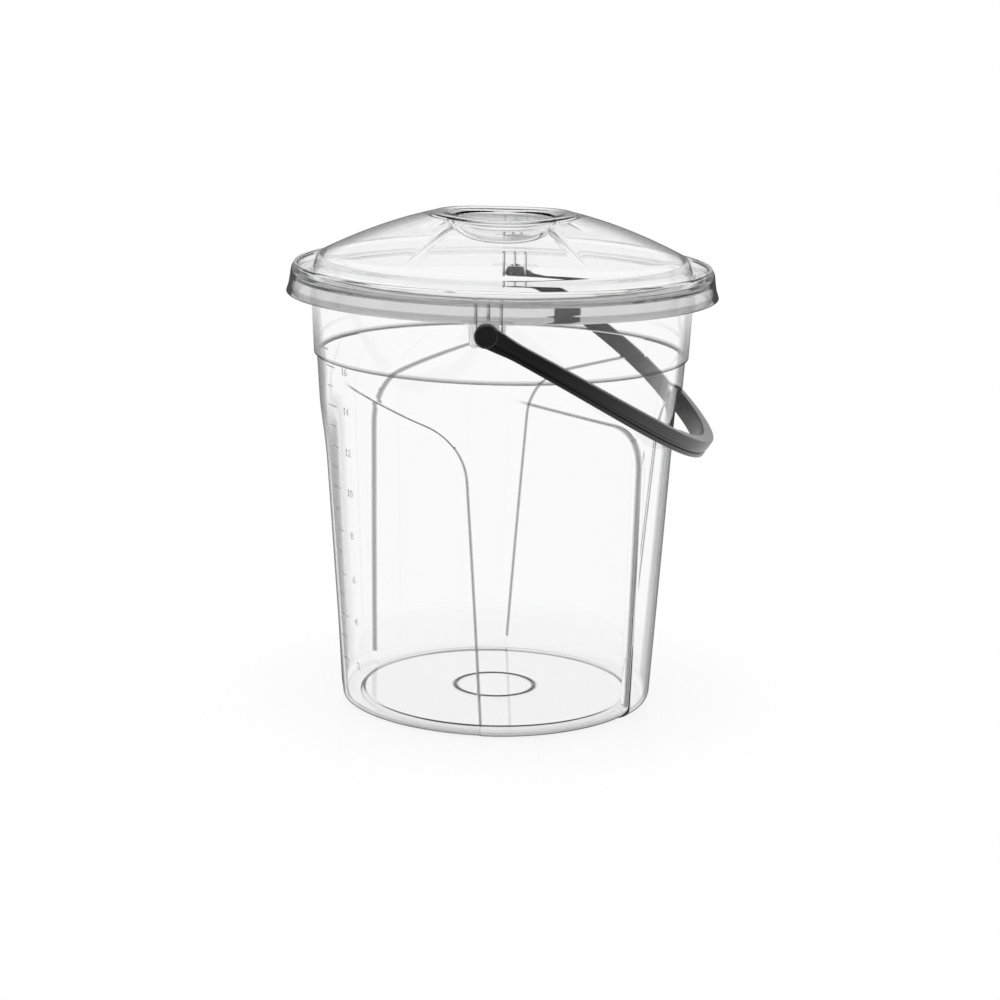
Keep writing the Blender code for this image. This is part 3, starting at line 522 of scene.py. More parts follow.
def plain_grey(radius, z):
    """The painted edge shade of the bucket's base, collar and rim, standing in for dark refraction lines."""
    if z > COLLAR_FOOT_HEIGHT - WALL:
        flange = z > RIM_HEIGHT - FLAT_RIM_DEPTH
        return FLAT_FACE if flange else bump_at(z, COLLAR_HEIGHT, PAINTED_SHADE_REACH, COLLAR_PAINTED_SHADE)
    gate = bump_at(radius, GATE_RING_RADIUS, PAINTED_SHADE_REACH, GATE_RING_PAINTED_SHADE)
    floor = bump_at(radius, FLOOR_EDGE_RADIUS, PAINTED_SHADE_REACH, FLOOR_RING_PAINTED_SHADE)
    foot = FOOT_PAINTED_SHADE if radius > FLOOR_EDGE_RADIUS and z < WALL / 2 else 0
    return max(gate, floor, foot) or FLAT_FACE


def foot_rings(wall_foot, inset, bottom_z):
    """The rounded corner from the foot up to the wall's lowest ring, set in from it by an inset."""
    rings = []
    for turn in arc_steps(0, math.pi / 2, FOOT_STEPS)[:-1]:
        z = lerp(FOOT_CORNER_HEIGHT, bottom_z, math.cos(turn))
        rings.append([
            polar(lerp(FOOT_OUTER_RADIUS, radius - inset, math.sin(turn)), angle, z)
            for radius, angle, _ in wall_foot
        ])
    return rings


def add_bucket():
    """The bucket's whole moulding but for its ears: underside, outside, rim, inside and floor."""
    wall, wall_painted_shades = wall_rings()
    angles = [angle for _, angle, _ in wall[0]]
    top_angles = [angle for _, angle, _ in wall[-1]]

    def turned(line, at):
        return [[polar(radius, angle, z) for angle in at] for radius, z in line]

    floor_top = FLOOR_RAISE + FLOOR_THICKNESS
    rim_underside = RIM_HEIGHT - RIM_THICKNESS
    gate_inner = GATE_RING_RADIUS - GATE_RING_WIDTH / 2
    gate_outer = GATE_RING_RADIUS + GATE_RING_WIDTH / 2
    fades = (GATE_RING_RADIUS - PAINTED_SHADE_REACH, GATE_RING_RADIUS + PAINTED_SHADE_REACH, FLOOR_EDGE_RADIUS - PAINTED_SHADE_REACH)
    base = rounded(
        [(GATE_RING_WIDTH, FLOOR_RAISE), (gate_inner, FLOOR_RAISE), (gate_outer, FLOOR_RAISE),
         (FLOOR_EDGE_RADIUS - FLOOR_EDGE_RUN, FLOOR_RAISE), (FLOOR_EDGE_RADIUS, 0),
         (FOOT_OUTER_RADIUS - FOOT_ROUND_RUN, 0)],
        BASE_ROUNDS, FINE_ROUND_STEPS,
    )
    base = with_stops(base, 0, fades)
    top_outside = rounded(
        [(COLLAR_FOOT_RADIUS, COLLAR_FOOT_HEIGHT), (COLLAR_RADIUS, COLLAR_HEIGHT),
         (NECK_RADIUS, rim_underside), (LIP_TOP_RADIUS - LIP_THICKNESS, rim_underside),
         (LIP_BOTTOM_RADIUS - LIP_THICKNESS, LIP_BOTTOM_HEIGHT), (LIP_BOTTOM_RADIUS, LIP_BOTTOM_HEIGHT),
         (LIP_TOP_RADIUS, RIM_HEIGHT), (NECK_RADIUS - WALL, RIM_HEIGHT),
         (COLLAR_RADIUS - WALL, COLLAR_HEIGHT), (COLLAR_FOOT_RADIUS - WALL, COLLAR_FOOT_HEIGHT)],
        RIM_ROUNDS, RIM_ROUND_STEPS,
    )[1:-1]
    top_outside = with_stops(top_outside, 1, (COLLAR_HEIGHT + PAINTED_SHADE_REACH,))
    floor = rounded(
        [(FOOT_OUTER_RADIUS - FOOT_ROUND_RUN / 2, WALL), (FLOOR_EDGE_RADIUS + FLOOR_EDGE_RUN, WALL),
         (FLOOR_EDGE_RADIUS, floor_top), (gate_outer, floor_top),
         (GATE_RING_RADIUS, floor_top + GATE_RING_HEIGHT), (gate_inner, floor_top),
         (GATE_RING_WIDTH, floor_top)],
        FLOOR_ROUNDS, FINE_ROUND_STEPS,
    )
    floor = with_stops(floor, 0, fades)
    foot = foot_rings(wall[0], 0, 0)
    rings = turned(base, angles) + foot
    rings += [[polar(*spot) for spot in ring] for ring in wall]
    rings += turned(top_outside, top_angles)
    rings += [[polar(r - WALL, angle, z) for r, angle, z in ring] for ring in wall[::-1]]
    rings += foot_rings(wall[0], WALL, WALL)[::-1] + turned(floor, angles)
    # Painted shade for each ring: dark lines at the moulded edges, and over the foot's rounded corner.
    greys = [plain_grey(*spot) for spot in base]
    greys += [bump_at(ring[0].z, 0, FOOT_PAINTED_SHADE_HEIGHT, FOOT_PAINTED_SHADE) for ring in foot] + wall_painted_shades
    greys += [plain_grey(*spot) for spot in top_outside] + wall_painted_shades[::-1]
    greys += [0] * FOOT_STEPS + [plain_grey(*spot) for spot in floor]
    shape = shell_from_rings(rings, greys, (0, 0, FLOOR_RAISE), (0, 0, floor_top))
    return mesh_object("bucket_body", shape)


def ear_outline():
    """The dipped lip's lower edge as (along the rim, height), from one root to the other."""
    corner = EAR_HALF_WIDTH - EAR_CORNER_ROUND
    half = [(0, EAR_BOTTOM_HEIGHT)]
    for turn in arc_steps(0, math.pi / 2, EAR_STEPS):
        rise = EAR_CORNER_ROUND * (1 - math.cos(turn))
        half.append((corner + EAR_CORNER_ROUND * math.sin(turn), EAR_BOTTOM_HEIGHT + rise))
    root = EAR_HALF_WIDTH + EAR_SIDE_DRAFT + EAR_ROOT_ROUND
    for turn in arc_steps(0, math.pi / 2, EAR_STEPS):
        drop = EAR_ROOT_ROUND * (1 - math.sin(turn))
        half.append((root - EAR_ROOT_ROUND * math.cos(turn), LIP_BOTTOM_HEIGHT - drop))
    return [(-x, z) for x, z in half[:0:-1]] + half


def add_tube(name, profile):
    """A piece turned about the pivot axis at -Y, from (radius, distance off the axis) points."""
    shape = bmesh.new()
    rings = []
    for radius, out in profile:
        ring = []
        for i in range(ROUND_SEGMENTS):
            turn = math.tau * i / ROUND_SEGMENTS
            ring.append(shape.verts.new((radius * math.cos(turn), -out, PIVOT_HEIGHT + radius * math.sin(turn))))
        rings.append(ring)
    for first, second in zip(rings, rings[1:]):
        bridge(shape, first, second)
    if profile[0] == profile[-1]:
        bmesh.ops.remove_doubles(shape, verts=shape.verts, dist=1e-6)
    else:
        shape.faces.new(rings[0])
        shape.faces.new(rings[-1])
    return mesh_object(name, shape)


def add_ear(name, direction):
    """The dipped lip with its boss and ribs, at one end of the pivot axis."""
    shape = bmesh.new()
    inner = EAR_OUTER_RADIUS - EAR_THICKNESS
    columns = []
    for x, z in ear_outline():
        angle = x / EAR_OUTER_RADIUS
        column = rounded(
            [(inner, EAR_TOP_HEIGHT), (inner, z), (EAR_OUTER_RADIUS, z), (EAR_OUTER_RADIUS, EAR_TOP_HEIGHT)],
            (EAR_EDGE_ROUND, EAR_EDGE_ROUND), FINE_ROUND_STEPS,
        )
        columns.append([shape.verts.new(polar(r, angle, h)) for r, h in column])
    for first, second in zip(columns, columns[1:]):
        bridge(shape, first, second)
    shape.faces.new(columns[0])
    shape.faces.new(columns[-1])
    near, far = plain_radius(EAR_TOP_HEIGHT) - WALL / 2, inner + EAR_RIB_BITE
    top = RIM_HEIGHT - RIM_THICKNESS / 2
    ribs = (
        (-EAR_RIB_PITCH, EAR_RIB_BOTTOM_HEIGHT), (EAR_RIB_PITCH, EAR_RIB_BOTTOM_HEIGHT),
        (0, EAR_MIDDLE_RIB_BOTTOM_HEIGHT),
    )
    for x, bottom in ribs:
        size = Matrix.Diagonal((EAR_RIB_THICKNESS, far - near, top - bottom, 1))
        place = Matrix.Translation((x, -(near + far) / 2, (top + bottom) / 2))
        made = bmesh.ops.create_cube(shape, size=1, matrix=place @ size)
        edges = list({edge for vert in made["verts"] for edge in vert.link_edges})
        bmesh.ops.bevel(shape, geom=edges, offset=EAR_RIB_EDGE, segments=2, affect="EDGES", profile=0.5)
    ear = mesh_object(name, shape, 50)
    root = inner + EAR_BOSS_BITE
    boss = add_tube(f"{name}_boss", rounded(
        [(PIVOT_HOLE_RADIUS, root), (PIVOT_HOLE_RADIUS, EAR_BOSS_FACE), (EAR_BOSS_RADIUS, EAR_BOSS_FACE),
         (EAR_BOSS_RADIUS, root), (PIVOT_HOLE_RADIUS, root)],
        EAR_BOSS_ROUNDS, FINE_ROUND_STEPS,
    ))
    boss.parent = ear
    ear.rotation_euler.z = direction
    return ear


def dome_height(radius):
    """Height of the dome's outside over its lobes."""
    return DOME_EDGE_HEIGHT + DOME_RISE * (1 - (radius / DOME_EDGE_RADIUS) ** DOME_FULLNESS)


def bowl_height(radius):
    """Height of the finger bowl's inside."""
    share = min(radius / BOWL_RADIUS, 1.0) ** BOWL_FULLNESS
    return BOWL_RIM_HEIGHT - BOWL_DEPTH * (1 - share) ** (1 / BOWL_FULLNESS)


def lid_crown():
    """(radius, height) over the lid's middle along a lobe, from the bowl's bottom to the dome's edge."""
    shares = arc_steps(BOWL_FIRST_SHARE, BOWL_LAST_SHARE, BOWL_STEPS)
    bowl = [BOWL_RADIUS * math.sin(math.pi / 2 * t) for t in shares]
    line = [(radius, bowl_height(radius)) for radius in bowl]
    groove = RING_EDGE_RADIUS + RING_GROOVE_RUN
    lobe = groove + RING_GROOVE_RUN
    end = lobe + RING_END_RUN
    ring = rounded(
        [(bowl[-1], bowl_height(bowl[-1])), (BOWL_RADIUS, BOWL_RIM_HEIGHT),
         (RING_TOP_RADIUS, RING_TOP_HEIGHT), (RING_EDGE_RADIUS, RING_TOP_HEIGHT - RING_EDGE_DROP),
         (groove, dome_height(groove) - RING_GROOVE_DEPTH), (lobe, dome_height(lobe)),
         (end, dome_height(end))],
        RING_ROUNDS, RIM_ROUND_STEPS,
    )
    line += ring[1:]
    for radius in arc_steps(end, DOME_EDGE_RADIUS - DOME_END_RUN, DOME_STEPS)[1:]:
        line.append((radius, dome_height(radius)))
    return line


def wedge_drop(radius):
    """How far the front and back wedges lie below the dome: most by the ring, none at the rim."""
    groove = RING_EDGE_RADIUS + RING_GROOVE_RUN
    fade = smooth((WEDGE_END_RADIUS - radius) / (WEDGE_END_RADIUS - groove))
    return WEDGE_DROP * fade * smooth((radius - RING_EDGE_RADIUS) / RING_GROOVE_RUN)


def ring_dip(radius, angle):
    """How far the ring dips over each wedge."""
    away = abs((angle - WEDGE_TURN + math.pi / 2) % math.pi - math.pi / 2)
    over = 1 - smooth((radius - RING_EDGE_RADIUS) / (2 * RING_GROOVE_RUN))
    return RING_DIP * over * smooth(1 - away / RING_DIP_SPREAD) * smooth(radius / BOWL_RADIUS * 4 - 3)


def lid_spokes(radius):
    """Angles round the lid at a radius, each with the share of the wedge's drop there."""
    lobe = RING_EDGE_RADIUS + 2 * RING_GROOVE_RUN
    radius = min(max(radius, lobe), DOME_EDGE_RADIUS)
    corner = max(1 - (radius - lobe) / LOBE_CORNER_RUN, 0)
    edge = WEDGE_HALF_ANGLE + LOBE_CORNER_ANGLE * corner * corner
    half_step = WEDGE_STEP_RUN / radius / 2
    inner, outer = edge - half_step, edge + half_step
    spokes = []
    for centre in (WEDGE_TURN, WEDGE_TURN + math.pi):
        spokes += [(centre + a, 1) for a in arc_steps(-inner, inner, WEDGE_STEPS)]
        spokes += [(centre + lerp(inner, outer, t), 1 - smooth(t)) for t in arc_steps(0, 1, STEP_ROWS)[1:]]
        spokes += [(centre + a, 0) for a in arc_steps(outer, math.pi - outer, LOBE_STEPS)[1:]]
        spokes += [
            (centre + math.pi - lerp(outer, inner, t), smooth(t)) for t in arc_steps(0, 1, STEP_ROWS)[1:-1]
        ]
    return spokes


def crown_under(crown):
    """(radius, height, wall below it) for the crown outside the bowl, thicker where it slants."""
    line = []
    for i, (radius, height) in enumerate(crown):
        if radius <= BOWL_RADIUS:
            continue
        after, before = crown[min(i + 1, len(crown) - 1)], crown[i - 1]
        slope = (after[1] - before[1]) / (after[0] - before[0])
        line.append((radius, height, LID_WALL * min(math.hypot(1, slope), MOST_SLANTED_WALL)))
    return line


def lid_grey(radius, height):
    """The painted edge shade of the lid, standing in for dark refraction lines: its dome's foot, its channel, and
    its bead and skirt from their outside.
    """
    if radius < BEAD_OUTER_RADIUS - BEAD_WIDTH / 2:
        if radius > CHANNEL_INNER_RADIUS:
            return FLAT_FACE
        return bump_at(radius, DOME_FOOT_RADIUS, DOME_FOOT_PAINTED_SHADE_REACH, DOME_FOOT_PAINTED_SHADE)
    for (low, first), (high, last) in zip(SKIRT_PAINTED_SHADES, SKIRT_PAINTED_SHADES[1:]):
        if height <= high:
            return lerp(first, last, max((height - low) / (high - low), 0))
    return 0


def add_lid():
    """The lid's whole moulding: its outside from the bowl to the skirt, then its inside back again."""
    crown = lid_crown()
    bead_inner = BEAD_OUTER_RADIUS - BEAD_WIDTH
    bead_middle = BEAD_OUTER_RADIUS - BEAD_WIDTH / 2
    underside = CHANNEL_FLOOR_HEIGHT - LID_WALL
    skirt = [SKIRT_MIDDLE, SKIRT_FLARE, SKIRT_BOTTOM]
    edge_height = DOME_EDGE_HEIGHT - DOME_SHOULDER
    dome_end = DOME_EDGE_RADIUS + DOME_EDGE_RUN
    outside = rounded(
        [crown[-2], (dome_end, dome_height(dome_end)), (DOME_FOOT_RADIUS, edge_height),
         (CHANNEL_INNER_RADIUS + CHANNEL_WALL_RUN, CHANNEL_FLOOR_HEIGHT),
         (bead_inner - BEAD_INNER_FOOT_RUN, CHANNEL_FLOOR_HEIGHT),
         (bead_inner + BEAD_INNER_TOP_RUN, BEAD_TOP_HEIGHT),
         (BEAD_OUTER_RADIUS - BEAD_OUTER_ROUND[0], BEAD_TOP_HEIGHT),
         (BEAD_OUTER_RADIUS, BEAD_TOP_HEIGHT - BEAD_OUTER_ROUND[1]), *skirt,
         (SKIRT_BOTTOM[0] - LID_WALL, SKIRT_BOTTOM[1]), (SKIRT_FLARE[0] - LID_WALL, SKIRT_FLARE[1]),
         (SKIRT_MIDDLE[0] - LID_WALL, SKIRT_MIDDLE[1]),
         (bead_middle + LID_WALL / 4, BEAD_TOP_HEIGHT - LID_WALL),
         (bead_middle - LID_WALL / 4, BEAD_TOP_HEIGHT - LID_WALL),
         (bead_inner + LID_WALL * 3 / 4, underside), (CHANNEL_INNER_RADIUS - LID_WALL, underside),
         (DOME_FOOT_RADIUS - LID_WALL, edge_height - LID_WALL),
         (DOME_EDGE_RADIUS - LID_WALL, dome_height(DOME_EDGE_RADIUS) - LID_WALL * DOME_EDGE_WALL_SHARE)],
        LID_ROUNDS,
    )[1:]

    def ring(radius, height, over):
        return [
            polar(radius, angle, height - wedge_drop(over) * share - ring_dip(over, angle))
            for angle, share in lid_spokes(over)
        ]

    # Painted shade along the wedges' steps, and along the lid's moulded edges.
    def grey(radius, height, over):
        plain, fade = lid_grey(radius, height), wedge_drop(over) / WEDGE_DROP
        return [plain or WEDGE_PAINTED_SHADE * 4 * share * (1 - share) * fade for _, share in lid_spokes(over)]

    outside = with_stops(outside, 1, [height for height, _ in SKIRT_PAINTED_SHADES])
    lowest = outside.index(min(outside, key=lambda spot: spot[1]))
    spots = [(radius, height, radius) for radius, height in crown[:-1]]
    spots += [(radius, height, DOME_EDGE_RADIUS) for radius, height in outside]
    skin_end = len(crown) + lowest
    for radius, height, drop in crown_under(crown)[:-2][::-1]:
        if radius >= BOWL_RADIUS + LID_WALL:
            spots.append((radius, height - drop, radius))
    for radius, height in crown[::-1]:
        if radius < BOWL_RADIUS:
            scale = (BOWL_RADIUS + LID_WALL) / BOWL_RADIUS
            spots.append((radius * scale, height - LID_WALL, radius))
    rings = [ring(*spot) for spot in spots]
    greys = [grey(*spot) for spot in spots[:skin_end]]
    greys += [min(lid_grey(radius, height), 0) for radius, height, _ in spots[skin_end:]]
    bottom = bowl_height(0)
    shape = shell_from_rings(rings, greys, (0, 0, bottom), (0, 0, bottom - LID_WALL))
    return mesh_object("lid_body", shape, 50)


def strap_section(width, extra):
    """The strap's outline as (outwards, across) from its middle, grooved along its outer face."""
    out = STRAP_THICKNESS / 2
    inner = -out - extra
    half = width / 2
    groove = -width * GROOVE_OFFSET_SHARE
    lip = GROOVE_WIDTH / 2
    floor, floor_half = out - GROOVE_DEPTH, lip * GROOVE_FLOOR_SHARE
    start = (out, (groove + lip + half) / 2)
    line = rounded(
        [start, (out, half), (inner, half), (inner, -half), (out, -half), (out, groove - lip),
         (floor, groove - floor_half), (floor, groove + floor_half), (out, groove + lip), start],
        [STRAP_EDGE] * 4 + [GROOVE_ROUND] * 4, RIM_ROUND_STEPS,
    )
    return line[:-1]


def strap_width(share):
    """The strap's width: wider at its grip, and in the neck where it meets its rounded end."""
    neck = smooth(1 - STRAP_REACH * share / STRAP_NECK_LENGTH)
    width = lerp(STRAP_END_WIDTH, STRAP_GRIP_WIDTH, smooth(share))
    return width + (STRAP_NECK_WIDTH - STRAP_END_WIDTH) * neck


def add_handle():
    """The bowed strap, in the frame that it hangs in, with a rounded end and snap peg at each side."""
    shape = bmesh.new()
    rings = []
    half_width = STRAP_INNER_HALF_WIDTH + STRAP_THICKNESS / 2
    reach = STRAP_REACH - STRAP_THICKNESS / 2
    for turn in arc_steps(0, math.pi, STRAP_STEPS):
        share = math.sin(turn)
        centre = Vector((reach * share, -half_width * math.cos(turn), STRAP_CAMBER * 4 * share * (1 - share)))
        outward = Vector((half_width * share, -reach * math.cos(turn), 0)).normalized()
        width = strap_width(share)
        grip = smooth((GRIP_HALF_LENGTH - abs(centre.y)) / STRAP_THICKNESS + 1)
        outline = strap_section(width, GRIP_EXTRA_THICKNESS * grip)
        rings.append([shape.verts.new(centre + outward * o + Vector((0, 0, a))) for o, a in outline])
    for first, second in zip(rings, rings[1:]):
        bridge(shape, first, second)
    shape.faces.new(rings[0])
    shape.faces.new(rings[-1])
    strap = mesh_object("handle_strap", shape, 50)
    strap.location.z = PIVOT_HEIGHT
    strap.rotation_euler.y = HANDLE_REST_ANGLE
    face = STRAP_INNER_HALF_WIDTH
    tip = PEG_HEAD_FACE - PEG_HEAD_LENGTH
    profile = rounded(
        [(CORE_RADIUS, tip), (PEG_TIP_RADIUS, tip), (PEG_HEAD_RADIUS, PEG_HEAD_FACE - PEG_HEAD_LENGTH / 3),
         (PEG_HEAD_RADIUS, PEG_HEAD_FACE), (PEG_RADIUS, PEG_HEAD_FACE), (PEG_RADIUS, face),
         (END_RADIUS, face), (END_RADIUS, face + END_THICKNESS),
         (CORE_RADIUS, face + END_THICKNESS + END_ROUND / 4)],
        PEG_ROUNDS, PEG_ROUND_STEPS,
    )
    ends = []
    for name, direction in (("handle_end_front", 0), ("handle_end_back", math.pi)):
        end = add_tube(name, profile)
        end.rotation_euler.z = direction
        ends.append(end)
    return strap, ends


def tick_mesh(shape, first, last, z):
    """A low bar round the wall, from one angle to another."""
    low, high = z - TICK_HEIGHT / 2, z + TICK_HEIGHT / 2
    base = plain_radius(z)
    face = base + TICK_RELIEF
    line = [(base - TICK_BITE, low), (face, low + TICK_SLOPE), (face, high - TICK_SLOPE), (base - TICK_BITE, high)]
    columns = []
    for angle in arc_steps(first, last, TICK_STEPS):
        columns.append([shape.verts.new(polar(r, angle, h)) for r, h in line])
    for before, after in zip(columns, columns[1:]):
        bridge(shape, before, after)
    shape.faces.new(columns[0])
    shape.faces.new(columns[-1])


def add_litre_scale():
    """A tick for each litre, longer and numbered for the even ones."""
    shape = bmesh.new()
    for litre, z in LITRE_HEIGHTS.items():
        length = SHORT_TICK if litre % 2 else LONG_TICK
        tick_mesh(shape, TICK_ANGLE, TICK_ANGLE + length, z)
    pieces = [mesh_object("litre_marks", shape)]
    for litre, z in LITRE_HEIGHTS.items():
        if litre % 2:
            continue
        curve = bpy.data.curves.new("numeral", "FONT")
        curve.body = str(litre)
        curve.size = NUMERAL_SIZE
        curve.align_x = "CENTER"
        curve.align_y = "CENTER"
        curve.extrude = TICK_RELIEF / 2
        holder = bpy.data.objects.new("numeral", curve)
        bpy.context.scene.collection.objects.link(holder)
        bpy.context.view_layer.update()
        mesh = bpy.data.meshes.new_from_object(holder.evaluated_get(bpy.context.evaluated_depsgraph_get()))
        bpy.data.objects.remove(holder)
        for vertex in mesh.vertices:
            x, y, out = vertex.co
            height = z - NUMERAL_DROP + y
            radius = plain_radius(height)
            vertex.co = polar(radius + out + TICK_RELIEF / 3, NUMERAL_ANGLE + x / radius, height)
        numeral = bpy.data.objects.new(f"litre_numeral_{litre}", mesh)
        bpy.context.scene.collection.objects.link(numeral)
        pieces.append(numeral)
    return pieces


def new_material(name):
    """A node material with its tree, its main shader and its output."""
    made = bpy.data.materials.new(name)
    made.use_nodes = True
    tree = made.node_tree
    return made, tree, tree.nodes["Principled BSDF"], tree.nodes["Material Output"]


def add_node(tree, kind, **inputs):
    """A node with values for its inputs, an underscore standing for a space in a name."""
    node = tree.nodes.new(kind)
    for name, value in inputs.items():
        node.inputs[name.replace("_", " ")].default_value = value
    return node


def add_ramp(tree, stops):
    """A grey ramp through (position, value) stops."""
    ramp = tree.nodes.new("ShaderNodeValToRGB")
    elements = ramp.color_ramp.elements
    while len(elements) < len(stops):
        elements.new(1)
    for element, (position, value) in zip(elements, stops):
        element.position = position
        element.color = (value, value, value, 1)
    return ramp


def add_math(tree, operation, first, second):
    node = tree.nodes.new("ShaderNodeMath")
    node.operation = operation
    tree.links.new(first, node.inputs[0])
    tree.links.new(second, node.inputs[1])
    return node.outputs[0]


def clear_plastic(name, ior, waviness, painted_shade_stops, painted_shade_slant_range):
    """Clear moulded plastic: painted shade where it is seen edge-on and at moulded edges, and grey where light
    runs far inside it.

    A point's painted edge shade attribute says how much painted shade it gets. Below 0, it keeps flat faces seen
    edge-on from getting painted shade.
    """
    made, tree, shader, output = new_material(name)
    shader.inputs["Base Color"].default_value = (0.99, 0.99, 0.99, 1)
    shader.inputs["Roughness"].default_value = 0.02
    shader.inputs["Transmission Weight"].default_value = 1
    shader.inputs["IOR"].default_value = ior
    place = tree.nodes.new("ShaderNodeTexCoord")
    noise = add_node(tree, "ShaderNodeTexNoise", Scale=28, Detail=2)
    bump = add_node(tree, "ShaderNodeBump", Strength=waviness, Distance=0.0004)
    tree.links.new(place.outputs["Object"], noise.inputs["Vector"])
    tree.links.new(noise.outputs["Fac"], bump.inputs["Height"])
    tree.links.new(bump.outputs["Normal"], shader.inputs["Normal"])
    # rim is a dark shader, mixed in as painted shade where the plastic is seen edge-on and at its moulded edges.
    rim = tree.nodes.new("ShaderNodeBsdfPrincipled")
    rim.inputs["Base Color"].default_value = (0.10, 0.10, 0.105, 1)
    rim.inputs["Roughness"].default_value = 0.3
    rim.inputs["Specular IOR Level"].default_value = 0
    facing = add_node(tree, "ShaderNodeLayerWeight", Blend=0.5).outputs["Facing"]
    edge = add_ramp(tree, painted_shade_stops)
    start, end, most = painted_shade_slant_range
    slant = add_node(tree, "ShaderNodeMapRange", From_Min=start, From_Max=end, To_Min=1, To_Max=most)
    moulded = tree.nodes.new("ShaderNodeAttribute")
    moulded.attribute_name = "edge_painted_shade"
    kept = add_node(tree, "ShaderNodeMapRange", From_Min=FLAT_FACE, From_Max=0)
    side = tree.nodes.new("ShaderNodeNewGeometry")
    outside = add_node(tree, "ShaderNodeMapRange", To_Min=1, To_Max=0)
    mix = tree.nodes.new("ShaderNodeMixShader")
    tree.links.new(facing, edge.inputs["Fac"])
    tree.links.new(facing, slant.inputs["Value"])
    tree.links.new(moulded.outputs["Fac"], kept.inputs["Value"])
    tree.links.new(side.outputs["Backfacing"], outside.inputs["Value"])
    # Painted shade: the edge attribute deepened as a face turns edge-on, or the edge-on ramp off flat faces,
    # whichever is more, on outsides only.
    line = add_math(tree, "MULTIPLY", moulded.outputs["Fac"], slant.outputs["Result"])
    edge_on_painted_shade = add_math(tree, "MULTIPLY", edge.outputs["Color"], kept.outputs["Result"])
    grey = add_math(tree, "MAXIMUM", line, edge_on_painted_shade)
    tree.links.new(add_math(tree, "MULTIPLY", grey, outside.outputs["Result"]), mix.inputs["Fac"])
    tree.links.new(shader.outputs["BSDF"], mix.inputs[1])
    tree.links.new(rim.outputs["BSDF"], mix.inputs[2])
    tree.links.new(mix.outputs["Shader"], output.inputs["Surface"])
    absorb = tree.nodes.new("ShaderNodeVolumeAbsorption")
    absorb.inputs["Color"].default_value = (0.80, 0.803, 0.81, 1)
    absorb.inputs["Density"].default_value = PLASTIC_DENSITY
    tree.links.new(absorb.outputs["Volume"], output.inputs["Volume"])
    return made


def frosted_marks():
    """The litre scale's slightly frosted relief."""
    made, tree, shader, _ = new_material("frosted_marks")
    shader.inputs["Base Color"].default_value = (0.93, 0.93, 0.94, 1)
    shader.inputs["Roughness"].default_value = 0.3
    shader.inputs["Transmission Weight"].default_value = 0.85
    shader.inputs["IOR"].default_value = 1.5
    noise = add_node(tree, "ShaderNodeTexNoise", Scale=900, Detail=2)
    bump = add_node(tree, "ShaderNodeBump", Strength=0.15, Distance=0.0001)
    tree.links.new(noise.outputs["Fac"], bump.inputs["Height"])
    tree.links.new(bump.outputs["Normal"], shader.inputs["Normal"])
    return made


def black_plastic():
    """Black moulded plastic with a fine spark-eroded grain, slightly uneven gloss and a sheen at a slant."""
    made, tree, shader, _ = new_material("black_handle")
    place = tree.nodes.new("ShaderNodeTexCoord")
    grain = add_node(tree, "ShaderNodeTexNoise", Scale=1400, Detail=3)
    cloud = add_node(tree, "ShaderNodeTexNoise", Scale=45, Detail=3)
    gloss = add_node(tree, "ShaderNodeMapRange", To_Min=0.24, To_Max=0.34)
    tone = add_node(tree, "ShaderNodeMapRange", To_Min=0.004, To_Max=0.009)
    bump = add_node(tree, "ShaderNodeBump", Strength=0.18, Distance=0.0001)
    facing = add_node(tree, "ShaderNodeLayerWeight", Blend=0.5)
    sheen = add_node(tree, "ShaderNodeMapRange", From_Min=0.04, From_Max=0.30, To_Min=0.12, To_Max=0.6)
    tree.links.new(facing.outputs["Facing"], sheen.inputs["Value"])
    tree.links.new(sheen.outputs["Result"], shader.inputs["Specular IOR Level"])
    for texture in (grain, cloud):
        tree.links.new(place.outputs["Object"], texture.inputs["Vector"])
    tree.links.new(cloud.outputs["Fac"], gloss.inputs["Value"])
    tree.links.new(cloud.outputs["Fac"], tone.inputs["Value"])
    tree.links.new(gloss.outputs["Result"], shader.inputs["Roughness"])
    tree.links.new(tone.outputs["Result"], shader.inputs["Base Color"])
    tree.links.new(grain.outputs["Fac"], bump.inputs["Height"])
    tree.links.new(bump.outputs["Normal"], shader.inputs["Normal"])
    return made


def seen_directly(tree):
    """1 for what the camera sees directly, in a reflection or through the clear plastic, else 0."""
    path = tree.nodes.new("ShaderNodeLightPath")
    mirrored = add_math(tree, "MAXIMUM", path.outputs["Is Camera Ray"], path.outputs["Is Glossy Ray"])
    return add_math(tree, "MAXIMUM", mirrored, path.outputs["Is Transmission Ray"])


